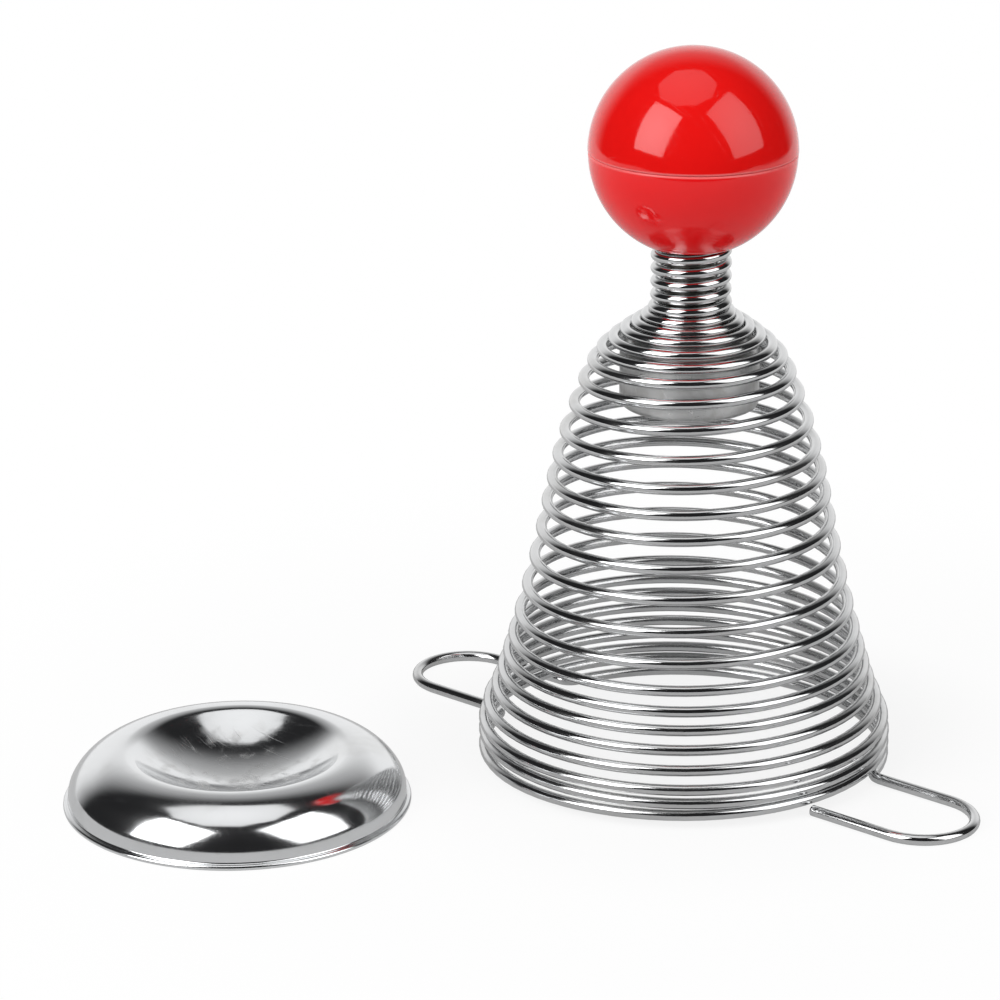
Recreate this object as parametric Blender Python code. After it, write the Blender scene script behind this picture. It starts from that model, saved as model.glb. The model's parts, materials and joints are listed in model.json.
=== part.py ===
"""Spring nutcracker: a bell of steel wire with two finger loops, a pull knob with its striker, and a dish.

In use the bell stands over the dish. Two fingers hold the loops down while the other hand pulls the knob
up and lets go, and the striker under the knob drops on what lies in the dish.
Metres, +Z up, standing on the table at Z = 0. X runs along the line of the two finger loops, and the
origin is under the middle of the whole footprint.
"""
import math

import bmesh
import bpy
import numpy as np
from mathutils import Matrix, Vector

# Wire
WIRE_DIAMETER = 0.0016
CURL_POINTS = 10
FLAT_share = 0.1

# Bell, measured to the middle of the wire
FOOT_RADIUS = 0.0297
NECK_RADIUS = 0.00503
BELL_HEIGHT = 0.0706
NECK_SHOWN = 0.0070
# Height share of the bell, radius share between the neck and the foot
BELL_FORM_shares = (
    (0.0, 1.0), (0.07, 1.0), (0.16, 0.91), (0.27, 0.815), (0.45, 0.687), (0.67, 0.552),
    (0.785, 0.447), (0.87, 0.338), (0.925, 0.166), (0.95, 0.06), (0.97, 0.012), (1.0, 0.0),
)

# Clear gaps between one turn and the next, along the slope of the bell
FOOT_GAP = 0.00065
SKIRT_GAP = 0.00120
BELLY_GAP = 0.00290
WAIST_GAP = 0.00180
CHEST_GAP = 0.00270
SHOULDER_GAP = 0.00165
KNEE_GAP = 0.00060
NECK_GAP = 0.00042
# Height share of the bell at which each gap holds
GAP_PLACES_shares = (0.0, 0.04, 0.10, 0.23, 0.32, 0.50, 0.58, 0.74, 0.82, 0.88, 0.93, 0.955, 0.985, 1.0)
GAP_SIZES = (
    FOOT_GAP, FOOT_GAP, SKIRT_GAP, SKIRT_GAP, BELLY_GAP, BELLY_GAP, WAIST_GAP, CHEST_GAP,
    SHOULDER_GAP, NECK_GAP, NECK_GAP, KNEE_GAP, NECK_GAP, NECK_GAP,
)

# Finger loops, bent out of the lowest turn
LOOP_WIDTH = 0.0156
LOOP_REACH = 0.0505
LOOP_BEND = 0.0024
LOOP_STEPS = 8
BEND_STEPS = 3
TAIL_LENGTH = 0.0060

# Clearances between neighbouring pieces
SEAT_GAP = 0.0003
DOME_CLEARANCE = 0.0004

# Pull knob, a hollow ball in two halves
BALL_RADIUS = 0.0150
SHELL_WALL = 0.0024
TONGUE_WALL = 0.0010
TONGUE_HEIGHT = 0.0018
SEAM_BEVEL = 0.00025
SOCKET_DEPTH = 0.0066
HUB_WALL = 0.0018
HUB_CEILING = 0.0030

# Striker under the shoulder of the bell, as high as its top fits in
STRIKER_RADIUS = 0.0101
STRIKER_TOP_RADIUS = 0.0056
STRIKER_LENGTH = 0.0120
STRIKER_EDGE = 0.0008
STRIKER_HOLLOW = 0.0012
# Height share of the bell above which the striker's dome is measured
DOME_FOOT_share = 0.76

# Bolt, washer and spacer that tie the knob to the striker
BOLT_RADIUS = 0.0020
BOLT_CHAMFER_share = 0.25
BOLT_HEAD_FLATS = 0.0070
BOLT_HEAD_HEIGHT = 0.0028
BOLT_GRIP = 0.0080
WASHER_RADIUS = 0.0045
WASHER_THICKNESS = 0.0008
SLEEVE_WALL = 0.0012

# Dish, pressed from sheet
DISH_RADIUS = 0.0251
DISH_SHEET = 0.0008
DISH_LIP = 0.0007
DISH_HEIGHT = 0.0081
DISH_SIDE_BEND = 0.0047
DISH_SIDE_ANGLE = 30.0
DISH_CREST_BEND = 0.0030
BOWL_RADIUS = 0.0250
BOWL_FLOOR_HEIGHT = 0.0028
DISH_X = -0.0369
DISH_Y = -0.0572

# Facets round the axis
ROUND_SIDES = 32
SMALL_SIDES = 20
DISH_SIDES = 40
HEXAGON_SIDES = 6
WIRE_BEVEL_RESOLUTION = 1
MERGE_share = 0.001
SMOOTH_ANGLE = math.radians(32.0)

# Steps along each outline
BALL_UPPER_STEPS = 10
BALL_LOWER_STEPS = 8
SHELL_UPPER_STEPS = 6
SHELL_LOWER_STEPS = 4
DOME_STEPS = 25
HOLLOW_STEPS = 4
DISH_SIDE_STEPS = 4
DISH_SHOULDER_STEPS = 6
DISH_CREST_STEPS = 3
BOWL_STEPS = 6

# Sizes that follow from the ones above
WIRE_RADIUS = WIRE_DIAMETER / 2
WIRE_SIDES = 4 + 2 * WIRE_BEVEL_RESOLUTION
FACET_SHRINK_share = math.cos(math.pi / CURL_POINTS)
WIRE_REST = WIRE_RADIUS * math.cos(math.pi / WIRE_SIDES) - FLAT_share * WIRE_DIAMETER
SOCKET_RADIUS = NECK_RADIUS + WIRE_RADIUS + SEAT_GAP
SOCKET_MOUTH_HEIGHT = BELL_HEIGHT + NECK_SHOWN
BALL_HEIGHT = SOCKET_MOUTH_HEIGHT + math.sqrt(BALL_RADIUS ** 2 - SOCKET_RADIUS ** 2)
SOCKET_CEILING_HEIGHT = SOCKET_MOUTH_HEIGHT + SOCKET_DEPTH
NECK_TOP_HEIGHT = SOCKET_CEILING_HEIGHT - SEAT_GAP - WIRE_RADIUS
BOLT_HOLE_RADIUS = BOLT_RADIUS + SEAT_GAP
MERGE = MERGE_share * WIRE_DIAMETER


def clear_scene():
    """Start from an empty scene."""
    for obj in list(bpy.data.objects):
        bpy.data.objects.remove(obj, do_unlink=True)


def make_material(name, colour, roughness, metallic):
    """A plain Principled material."""
    material = bpy.data.materials.new(name)
    material.use_nodes = True
    shader = material.node_tree.nodes["Principled BSDF"]
    shader.inputs["Base Color"].default_value = (*colour, 1.0)
    shader.inputs["Roughness"].default_value = roughness
    shader.inputs["Metallic"].default_value = metallic
    material.diffuse_color = (*colour, 1.0)
    return material


def make_empty(name, parent, place):
    """An empty that carries a group of pieces."""
    empty = bpy.data.objects.new(name, None)
    empty.parent = parent
    empty.location = place
    bpy.context.collection.objects.link(empty)
    return empty


def make_object(name, mesh, material, parent):
    """Link a mesh as one named piece, with smooth round faces."""
    obj = bpy.data.objects.new(name, mesh)
    mesh.materials.clear()
    mesh.materials.append(material)
    mesh.shade_smooth()
    mesh.set_sharp_from_angle(angle=SMOOTH_ANGLE)
    obj.parent = parent
    bpy.context.collection.objects.link(obj)
    return obj


def arc(centre, radius, start, end, steps):
    """Points on an arc, both ends included. The angles are in degrees."""
    angles = np.radians(np.linspace(start, end, steps + 1))
    return [(centre[0] + radius * math.cos(a), centre[1] + radius * math.sin(a)) for a in angles]


def turned_mesh(name, outline, sides):
    """Spin an outline of (radius, height) points about Z into one closed mesh."""
    bm = bmesh.new()
    verts = [bm.verts.new((radius, 0.0, height)) for radius, height in outline]
    edges = [bm.edges.new(pair) for pair in zip(verts, verts[1:])]
    on_axis = outline[0][0] < MERGE and outline[-1][0] < MERGE
    if not on_axis:
        edges.append(bm.edges.new((verts[-1], verts[0])))
    bmesh.ops.spin(
        bm, geom=verts + edges, cent=(0.0, 0.0, 0.0), axis=(0.0, 0.0, 1.0),
        angle=math.tau, steps=sides, use_duplicate=False,
    )
    bmesh.ops.remove_doubles(bm, verts=bm.verts, dist=MERGE)
    bmesh.ops.recalc_face_normals(bm, faces=bm.faces)
    mesh = bpy.data.meshes.new(name)
    bm.to_mesh(mesh)
    bm.free()
    return mesh


def smooth_curve(stations):
    """A smooth function through (place, value) stations that never overshoots them."""
    places = np.array([place for place, _ in stations])
    values = np.array([value for _, value in stations])
    steps = np.diff(places)
    slopes = np.diff(values) / steps
    tangents = np.zeros(len(places))
    for i in range(1, len(places) - 1):
        if slopes[i - 1] * slopes[i] > 0:
            before = 2 * steps[i] + steps[i - 1]
            after = steps[i] + 2 * steps[i - 1]
            tangents[i] = (before + after) / (before / slopes[i - 1] + after / slopes[i])

    def value_at(place):
        place = min(max(place, places[0]), places[-1])
        i = min(max(int(np.searchsorted(places, place)) - 1, 0), len(steps) - 1)
        t = (place - places[i]) / steps[i]
        ends = (1 + 2 * t) * (1 - t) ** 2 * values[i] + t * t * (3 - 2 * t) * values[i + 1]
        lean = t * (1 - t) ** 2 * tangents[i] + t * t * (t - 1) * tangents[i + 1]
        return float(ends + steps[i] * lean)

    return value_at


BELL_FORM = smooth_curve(BELL_FORM_shares)


def bell_radius(height):
    """Radius of the bell, to the middle of the wire, at a height above the table."""
    return NECK_RADIUS + (FOOT_RADIUS - NECK_RADIUS) * BELL_FORM(height / BELL_HEIGHT)


def bell_slope(height):
    """How much the bell's radius grows for each metre of height."""
    step = MERGE
    return (bell_radius(height + step) - bell_radius(height - step)) / (2 * step)


def turn_gap(height):
    """Clear gap between neighbouring turns at a height above the table."""
    return float(np.interp(height / BELL_HEIGHT, GAP_PLACES_shares, GAP_SIZES))


def finger_loop():
    """The wire's way round one finger loop on the table, in at +Y and back at -Y, along +X."""
    half_width = LOOP_WIDTH / 2
    offset = half_width + LOOP_BEND
    corner_x = math.sqrt((FOOT_RADIUS + LOOP_BEND) ** 2 - offset ** 2)
    corner_angle = math.degrees(math.asin(offset / (FOOT_RADIUS + LOOP_BEND)))
    end_x = LOOP_REACH - half_width
    way_in = arc((corner_x, offset), LOOP_BEND, 180 + corner_angle, 270, BEND_STEPS)
    bow = arc((end_x, 0.0), half_width, 90, -90, LOOP_STEPS)
    way_out = arc((corner_x, -offset), LOOP_BEND, 90, 180 - corner_angle, BEND_STEPS)
    return way_in + bow + way_out, corner_angle


def ring_point(turned, height):
    """A point on the bell after turning clockwise by so many degrees from +X."""
    angle = -math.radians(turned)
    radius = bell_radius(height)
    return Vector((radius * math.cos(angle), radius * math.sin(angle), height))


def straight_end(last, towards):
    """The end of the wire, which runs straight for one wire diameter."""
    return last + (towards - last).normalized() * WIRE_DIAMETER


def wire_route():
    """Middle line of the whole wire, from its tail at the foot to its end in the knob."""
    loop, corner_angle = finger_loop()
    step = 360 / CURL_POINTS
    first = step / 2
    tail_angle = math.degrees(TAIL_LENGTH / FOOT_RADIUS)
    tail_start = -corner_angle - tail_angle
    tail = ring_point(tail_start, WIRE_REST)
    route = [straight_end(tail, ring_point(tail_start - step, WIRE_REST)), tail]

    for turned in (0, 180):
        turn = Matrix.Rotation(math.radians(turned), 4, "Z")
        route += [turn @ Vector((x, y, WIRE_REST)) for x, y in loop]
        if turned == 0:
            low_angles = np.arange(first, 180 - corner_angle, step)
            route += [ring_point(angle, WIRE_REST) for angle in low_angles if angle > corner_angle]

    height = WIRE_REST + WIRE_DIAMETER + FOOT_GAP
    climb_from = 180 + corner_angle
    climb_to = 360 + tail_start
    for turned in np.arange(first, climb_to, step):
        if turned > climb_from:
            climbed_share = (turned - climb_from) / (climb_to - climb_from)
            route.append(ring_point(turned, WIRE_REST + climbed_share * (height - WIRE_REST)))

    turned += step
    while height < NECK_TOP_HEIGHT:
        route.append(ring_point(turned, height))
        rise = (WIRE_DIAMETER + turn_gap(height)) / CURL_POINTS
        height += rise / math.hypot(1.0, bell_slope(height))
        turned += step
    route.append(straight_end(route[-1], ring_point(turned, height)))
    return route


def least_gap(route):
    """Least clear gap between two turns of the wire, measured between the points of its route."""
    points = np.array(route)
    lengths = np.linalg.norm(np.diff(points, axis=0), axis=1)
    along = np.concatenate(([0.0], np.cumsum(lengths)))
    apart = np.linalg.norm(points[:, None] - points[None], axis=2)
    same_stretch = np.abs(along[:, None] - along[None]) < math.pi * NECK_RADIUS
    apart[same_stretch] = math.inf
    return float(apart.min()) - WIRE_DIAMETER


def make_spring(parent, material):
    """The bell, its neck and both finger loops, all one unbroken wire, cut flat where it stands."""
    route = wire_route()
    print("bell_spring: least gap between turns %.2f mm" % (least_gap(route) * 1000))
    curve = bpy.data.curves.new("bell_spring_route", "CURVE")
    curve.dimensions = "3D"
    curve.twist_mode = "Z_UP"
    curve.bevel_depth = WIRE_RADIUS
    curve.bevel_resolution = WIRE_BEVEL_RESOLUTION
    curve.use_fill_caps = True
    spline = curve.splines.new("POLY")
    spline.points.add(len(route) - 1)
    for point, place in zip(spline.points, route):
        point.co = (*place, 1.0)
    guide = bpy.data.objects.new("bell_spring_guide", curve)
    bpy.context.collection.objects.link(guide)
    mesh = bpy.data.meshes.new_from_object(guide.evaluated_get(bpy.context.evaluated_depsgraph_get()))
    bpy.data.objects.remove(guide, do_unlink=True)
    spring = make_object("bell_spring", mesh, material, parent)

    reach = 2 * (LOOP_REACH + WIRE_DIAMETER)
    below = box_mesh("table_cutter", reach, reach, WIRE_DIAMETER)
    cutter = make_object("table_cutter", below, material, parent)
    cutter.location = (0.0, 0.0, -WIRE_DIAMETER / 2)
    hide_operand(cutter)
    cut = spring.modifiers.new("flat_foot", "BOOLEAN")
    cut.operation = "DIFFERENCE"
    cut.solver = "EXACT"
    cut.object = cutter
    return spring


def box_mesh(name, length, width, height):
    """A box about its own centre."""
    bm = bmesh.new()
    bmesh.ops.create_cube(bm, size=1.0, matrix=Matrix.Diagonal((length, width, height, 1.0)))
    mesh = bpy.data.meshes.new(name)
    bm.to_mesh(mesh)
    bm.free()
    return mesh


def hide_operand(obj):
    """Show an object that only cuts or completes another as wires, and leave it out of renders."""
    obj.hide_render = True
    obj.display_type = "WIRE"


def make_ball_upper_half(parent, material):
    """The upper half of the knob, a bowl turned down, with a rebate for the lower half's tongue."""
    inner = BALL_RADIUS - SHELL_WALL
    seam = SEAT_GAP / 2
    rebate = inner + TONGUE_WALL + SEAT_GAP
    rebate_top = seam + TONGUE_HEIGHT + SEAT_GAP
    low_outer = math.degrees(math.asin((seam + SEAM_BEVEL) / BALL_RADIUS))
    low_inner = math.degrees(math.asin(rebate_top / inner))
    outline = arc((0.0, 0.0), BALL_RADIUS, 90, low_outer, BALL_UPPER_STEPS)
    outline += [(BALL_RADIUS - SEAM_BEVEL, seam), (rebate, seam), (rebate, rebate_top)]
    outline += arc((0.0, 0.0), inner, low_inner, 90, SHELL_UPPER_STEPS)
    outline = [(radius, BALL_HEIGHT + height) for radius, height in outline]
    return make_object("ball_upper_half", turned_mesh("ball_upper_half", outline, ROUND_SIDES), material, parent)


def make_ball_lower_half(parent, material):
    """The lower half of the knob, with the socket for the neck and the tongue of the seam."""
    inner = BALL_RADIUS - SHELL_WALL
    seam = -SEAT_GAP / 2
    tongue = inner + TONGUE_WALL
    ceiling = SOCKET_CEILING_HEIGHT - BALL_HEIGHT
    hub = SOCKET_RADIUS + HUB_WALL
    high_outer = -math.degrees(math.asin((SEAM_BEVEL - seam) / BALL_RADIUS))
    mouth = -math.degrees(math.acos(SOCKET_RADIUS / BALL_RADIUS))
    hub_foot = -math.degrees(math.acos(hub / inner))
    outline = [(tongue, seam), (BALL_RADIUS - SEAM_BEVEL, seam)]
    outline += arc((0.0, 0.0), BALL_RADIUS, high_outer, mouth, BALL_LOWER_STEPS)
    outline += [(SOCKET_RADIUS, ceiling), (BOLT_HOLE_RADIUS, ceiling)]
    outline += [(BOLT_HOLE_RADIUS, ceiling + HUB_CEILING), (hub, ceiling + HUB_CEILING)]
    outline += arc((0.0, 0.0), inner, hub_foot, 0, SHELL_LOWER_STEPS)
    outline += [(inner, seam + TONGUE_HEIGHT), (tongue, seam + TONGUE_HEIGHT)]
    outline = [(radius, BALL_HEIGHT + height) for radius, height in outline]
    return make_object("ball_lower_half", turned_mesh("ball_lower_half", outline, ROUND_SIDES), material, parent)


def dome_outline():
    """The inside of the bell's shoulder, less the clearance, as radius and height from the neck down."""
    offset = WIRE_RADIUS + DOME_CLEARANCE
    points = []
    for height in np.linspace(BELL_HEIGHT, DOME_FOOT_share * BELL_HEIGHT, DOME_STEPS):
        slope = bell_slope(height)
        length = math.hypot(1.0, slope)
        radius = bell_radius(height) * FACET_SHRINK_share - offset / length
        points.append((radius, height + offset * slope / length))
    return points


def dome_height(radius):
    """Height at which a radius of the striker just fits under the bell's shoulder."""
    radii, heights = zip(*dome_outline())
    return float(np.interp(radius, radii, heights))


STRIKER_TOP_HEIGHT = dome_height(STRIKER_TOP_RADIUS)
STRIKER_FACE_HEIGHT = STRIKER_TOP_HEIGHT - STRIKER_LENGTH


def striker_outline():
    """Half section of the striker, from the floor of its bolt hole round to its hollow face."""
    top = STRIKER_TOP_HEIGHT
    face = STRIKER_FACE_HEIGHT
    hole_floor = top - BOLT_GRIP - SEAT_GAP
    outline = [(0.0, hole_floor), (BOLT_HOLE_RADIUS, hole_floor), (BOLT_HOLE_RADIUS, top)]
    outline.append((STRIKER_TOP_RADIUS, top))
    outline += [point for point in dome_outline() if STRIKER_TOP_RADIUS < point[0] < STRIKER_RADIUS]
    side_height = dome_height(STRIKER_RADIUS)
    face_radius = STRIKER_RADIUS - 2 * STRIKER_EDGE
    outline += [(STRIKER_RADIUS, side_height), (STRIKER_RADIUS, face + STRIKER_EDGE)]
    outline += [(STRIKER_RADIUS - STRIKER_EDGE, face), (face_radius, face)]
    bowl = (face_radius ** 2 + STRIKER_HOLLOW ** 2) / (2 * STRIKER_HOLLOW)
    rim_angle = math.degrees(math.asin(face_radius / bowl))
    hollow = arc((0.0, face + STRIKER_HOLLOW - bowl), bowl, 90 - rim_angle, 90, HOLLOW_STEPS)
    return outline + hollow[1:]


def make_striker(parent, material):
    """The steel striker that fills the shoulder of the bell and gives the blow."""
    mesh = turned_mesh("striker", striker_outline(), ROUND_SIDES)
    return make_object("striker", mesh, material, parent)


def make_sleeve(parent, material):
    """The spacer inside the neck, between the striker and the ceiling of the socket."""
    low = STRIKER_TOP_HEIGHT + SEAT_GAP
    high = SOCKET_CEILING_HEIGHT - SEAT_GAP
    outer = BOLT_HOLE_RADIUS + SLEEVE_WALL
    outline = [(outer, high), (outer, low), (BOLT_HOLE_RADIUS, low), (BOLT_HOLE_RADIUS, high)]
    return make_object("spacer_sleeve", turned_mesh("spacer_sleeve", outline, SMALL_SIDES), material, parent)


def make_washer(parent, material):
    """The washer under the head of the bolt."""
    low = SOCKET_CEILING_HEIGHT + HUB_CEILING + SEAT_GAP
    high = low + WASHER_THICKNESS
    outline = [(WASHER_RADIUS, high), (WASHER_RADIUS, low), (BOLT_HOLE_RADIUS, low), (BOLT_HOLE_RADIUS, high)]
    return make_object("bolt_washer", turned_mesh("bolt_washer", outline, SMALL_SIDES), material, parent)


def make_bolt(parent, material):
    """The hexagon bolt that runs from inside the knob down into the striker."""
    head_low = SOCKET_CEILING_HEIGHT + HUB_CEILING + WASHER_THICKNESS + 2 * SEAT_GAP
    head_high = head_low + BOLT_HEAD_HEIGHT
    tip = STRIKER_TOP_HEIGHT - BOLT_GRIP
    chamfer = BOLT_CHAMFER_share * BOLT_RADIUS
    middle = (head_low + head_high) / 2
    outline = [(0.0, middle), (BOLT_RADIUS, middle), (BOLT_RADIUS, tip + chamfer)]
    outline += [(BOLT_RADIUS - chamfer, tip), (0.0, tip)]
    bolt = make_object("draw_bolt", turned_mesh("draw_bolt", outline, SMALL_SIDES), material, parent)

    corner_radius = BOLT_HEAD_FLATS / math.sqrt(3)
    head_outline = [(0.0, head_high), (corner_radius, head_high), (corner_radius, head_low), (0.0, head_low)]
    head_mesh = turned_mesh("bolt_head", head_outline, HEXAGON_SIDES)
    head = make_object("bolt_head_operand", head_mesh, material, parent)
    hide_operand(head)
    join = bolt.modifiers.new("hexagon_head", "BOOLEAN")
    join.operation = "UNION"
    join.solver = "EXACT"
    join.object = head
    return bolt


def sheet_outline(upper, thickness):
    """Close a line from rim to axis into the section of a sheet of one thickness below it."""
    lower = []
    last = len(upper) - 1
    for i, point in enumerate(upper):
        before = Vector(upper[max(i - 1, 0)])
        here = Vector(point)
        after = Vector(upper[min(i + 1, last)])
        into = (here - before).normalized() if i > 0 else (after - here).normalized()
        out = (after - here).normalized() if i < last else Vector((-1.0, 0.0))
        normal_in = Vector((-into.y, into.x))
        normal_out = Vector((-out.y, out.x))
        mitre = (normal_in + normal_out).normalized()
        offset = thickness / mitre.dot(normal_out)
        lower.append(tuple(here + mitre * offset))
    lower[0] = (upper[0][0], upper[0][1] - thickness)
    lower[-1] = (0.0, upper[-1][1] - thickness)
    return lower[::-1] + upper


def make_dish(parent, material):
    """The dish: a ring with a rounded side and a round bowl, pressed from one sheet."""
    wall = DISH_RADIUS - DISH_LIP
    bowl_centre = BOWL_FLOOR_HEIGHT + BOWL_RADIUS
    bend_height = DISH_HEIGHT - DISH_CREST_BEND
    span = BOWL_RADIUS + DISH_CREST_BEND
    bend_radius = math.sqrt(span ** 2 - (bowl_centre - bend_height) ** 2)
    bowl_angle = math.degrees(math.asin(bend_radius / span))

    side_centre = wall - DISH_SIDE_BEND
    side_angle = math.radians(DISH_SIDE_ANGLE)
    shoulder_bend = DISH_SIDE_BEND + (side_centre - bend_radius) / math.cos(side_angle)
    shoulder_height = DISH_HEIGHT - shoulder_bend
    side_height = shoulder_height + (shoulder_bend - DISH_SIDE_BEND) * math.sin(side_angle)

    upper = [(DISH_RADIUS, DISH_SHEET), (wall, DISH_SHEET)]
    upper += arc((side_centre, side_height), DISH_SIDE_BEND, 0, DISH_SIDE_ANGLE, DISH_SIDE_STEPS)
    shoulder = (bend_radius, shoulder_height)
    upper += arc(shoulder, shoulder_bend, DISH_SIDE_ANGLE, 90, DISH_SHOULDER_STEPS)[1:-1]
    upper += arc((bend_radius, bend_height), DISH_CREST_BEND, 90, 90 + bowl_angle, DISH_CREST_STEPS)
    upper += arc((0.0, bowl_centre), BOWL_RADIUS, 270 + bowl_angle, 270, BOWL_STEPS)[1:]
    mesh = turned_mesh("nut_dish", sheet_outline(upper, DISH_SHEET), DISH_SIDES)
    return make_object("nut_dish", mesh, material, parent)


def centre_on_footprint(root, pieces):
    """Move the whole part so that the origin lies under the middle of its footprint."""
    bpy.context.view_layer.update()
    depsgraph = bpy.context.evaluated_depsgraph_get()
    corners = []
    for piece in pieces:
        shown = piece.evaluated_get(depsgraph)
        corners += [shown.matrix_world @ Vector(corner) for corner in shown.bound_box]
    middle_x = (min(c.x for c in corners) + max(c.x for c in corners)) / 2
    middle_y = (min(c.y for c in corners) + max(c.y for c in corners)) / 2
    root.location = (-middle_x, -middle_y, 0.0)
    bpy.context.view_layer.update()
    print("bell axis at X %.3f mm, Y %.3f mm" % (-middle_x * 1000, -middle_y * 1000))


def main():
    clear_scene()
    wire_steel = make_material("wire_steel", (0.62, 0.63, 0.65), 0.16, 1.0)
    striker_steel = make_material("striker_steel", (0.66, 0.66, 0.67), 0.38, 1.0)
    bolt_steel = make_material("bolt_steel", (0.60, 0.60, 0.58), 0.35, 1.0)
    dish_steel = make_material("dish_steel", (0.68, 0.69, 0.70), 0.08, 1.0)
    upper_red = make_material("upper_red", (0.78, 0.008, 0.008), 0.10, 0.0)
    lower_red = make_material("lower_red", (0.78, 0.012, 0.012), 0.12, 0.0)

    root = make_empty("nutcracker", None, (0.0, 0.0, 0.0))
    head = make_empty("head_axis", root, (0.0, 0.0, 0.0))
    dish = make_empty("dish_place", root, (DISH_X, DISH_Y, 0.0))
    pieces = [
        make_spring(root, wire_steel),
        make_ball_upper_half(head, upper_red),
        make_ball_lower_half(head, lower_red),
        make_striker(head, striker_steel),
        make_sleeve(head, bolt_steel),
        make_washer(head, bolt_steel),
        make_bolt(head, bolt_steel),
        make_dish(dish, dish_steel),
    ]
    centre_on_footprint(root, pieces)


main()
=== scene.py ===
"""Spring nutcracker, wound, moulded, turned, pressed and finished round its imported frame.

The bell, its neck and both finger loops are one unbroken steel wire. A glossy red knob in two halves sits on the
neck and carries the striker by a bolt and a spacer sleeve, and a pressed steel dish stands beside the bell.
Metres, +Z up, standing on the table at Z = 0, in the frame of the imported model.
"""
import json
import math

import bpy
import numpy as np
from bpy.props import FloatProperty, FloatVectorProperty, IntProperty, PointerProperty
from mathutils import Matrix, Quaternion, Vector


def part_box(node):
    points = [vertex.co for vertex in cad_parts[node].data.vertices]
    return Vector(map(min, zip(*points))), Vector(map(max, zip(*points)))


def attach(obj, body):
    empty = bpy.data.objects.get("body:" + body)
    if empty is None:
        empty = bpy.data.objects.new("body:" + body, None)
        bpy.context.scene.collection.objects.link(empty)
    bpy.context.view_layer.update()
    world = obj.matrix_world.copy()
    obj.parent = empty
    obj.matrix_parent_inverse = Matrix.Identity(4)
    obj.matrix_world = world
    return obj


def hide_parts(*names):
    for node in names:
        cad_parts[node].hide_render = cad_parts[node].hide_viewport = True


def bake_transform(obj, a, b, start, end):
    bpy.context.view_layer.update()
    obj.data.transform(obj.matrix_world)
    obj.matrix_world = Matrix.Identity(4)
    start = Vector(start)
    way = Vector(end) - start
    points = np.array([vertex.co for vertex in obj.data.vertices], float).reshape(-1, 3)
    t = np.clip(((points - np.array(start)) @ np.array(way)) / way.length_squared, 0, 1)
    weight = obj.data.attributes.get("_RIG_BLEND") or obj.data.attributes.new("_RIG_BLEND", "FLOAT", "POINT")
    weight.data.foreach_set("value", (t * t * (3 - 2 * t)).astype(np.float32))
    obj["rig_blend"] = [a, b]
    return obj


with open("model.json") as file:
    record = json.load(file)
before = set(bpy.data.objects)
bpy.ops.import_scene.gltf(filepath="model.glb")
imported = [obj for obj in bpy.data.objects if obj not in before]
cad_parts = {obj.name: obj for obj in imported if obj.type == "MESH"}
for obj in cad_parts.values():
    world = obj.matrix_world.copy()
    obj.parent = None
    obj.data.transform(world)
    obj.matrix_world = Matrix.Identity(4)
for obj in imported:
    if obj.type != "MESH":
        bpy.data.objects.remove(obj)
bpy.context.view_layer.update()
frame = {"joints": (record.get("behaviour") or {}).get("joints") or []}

bl_info = {
    "name": "Spring Nutcracker",
    "version": (1, 0, 0),
    "blender": (4, 5, 0),
    "location": "3D View > Sidebar > Nutcracker",
    "description": "Builds a spring nutcracker with its dish, and the studio it is shown in",
    "category": "Object",
}

STRIKER_LOW, STRIKER_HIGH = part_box("striker")
BALL_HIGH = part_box("ball_upper_half")[1]
SLEEVE_LOW, SLEEVE_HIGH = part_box("spacer_sleeve")
WASHER_LOW, WASHER_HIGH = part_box("bolt_washer")
BOLT_LOW, BOLT_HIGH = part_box("draw_bolt")
DISH_LOW, DISH_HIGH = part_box("nut_dish")
PULL_RANGE = next(joint["range_m"] for joint in frame["joints"] if joint["name"] == "head_pull")

AXIS_X = (STRIKER_LOW.x + STRIKER_HIGH.x) / 2
AXIS_Y = (STRIKER_LOW.y + STRIKER_HIGH.y) / 2
DISH_X = (DISH_LOW.x + DISH_HIGH.x) / 2
DISH_Y = (DISH_LOW.y + DISH_HIGH.y) / 2

# Height share of the bell, radius share between the neck and the foot
BELL_FORM_shares = (
    (0.0, 1.0), (0.07, 1.0), (0.16, 0.91), (0.27, 0.815), (0.45, 0.687), (0.67, 0.552),
    (0.785, 0.447), (0.87, 0.338), (0.925, 0.166), (0.95, 0.06), (0.97, 0.012), (1.0, 0.0),
)
# Height share of the bell, clear gap between neighbouring turns there
GAP_STATIONS = (
    (0.0, 0.00008), (0.05, 0.00014), (0.10, 0.00140), (0.16, 0.00126), (0.23, 0.00100), (0.32, 0.00278),
    (0.41, 0.00308), (0.50, 0.00269), (0.58, 0.00207), (0.66, 0.00205), (0.74, 0.00285), (0.79, 0.00226),
    (0.83, 0.00163), (0.87, 0.00064), (0.91, 0.00062), (0.94, 0.00014), (0.97, 0.00014), (1.0, 0.00034),
)
NECK_SHOWN = 0.0070
SOCKET_DEPTH = 0.0066
COIL_POINTS = 10
WIRE_FLAT_share = 0.1
WIRE_FLAT_SIDES = 6
LOOP_BEND = 0.0024
TAIL_REACH = 0.0010
# Degrees round the first turn, height there over the flat half of the foot ring
FIRST_TURN = ((240.0, 0.00022), (292.0, 0.00105), (341.5, 0.00150))
CHAMFER_LENGTH = 0.00015
CHAMFER_share = 0.75
LIFT_FADE = 0.010
RIDE_HEIGHT = 0.0636
ROOM_share = 0.9
LEAST_GIVE_share = 0.99
HALVINGS = 50
SLOPE_STEP = 0.0000016
LOOP_BEND_STEPS = 8
LOOP_BOW_STEPS = 32

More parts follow.
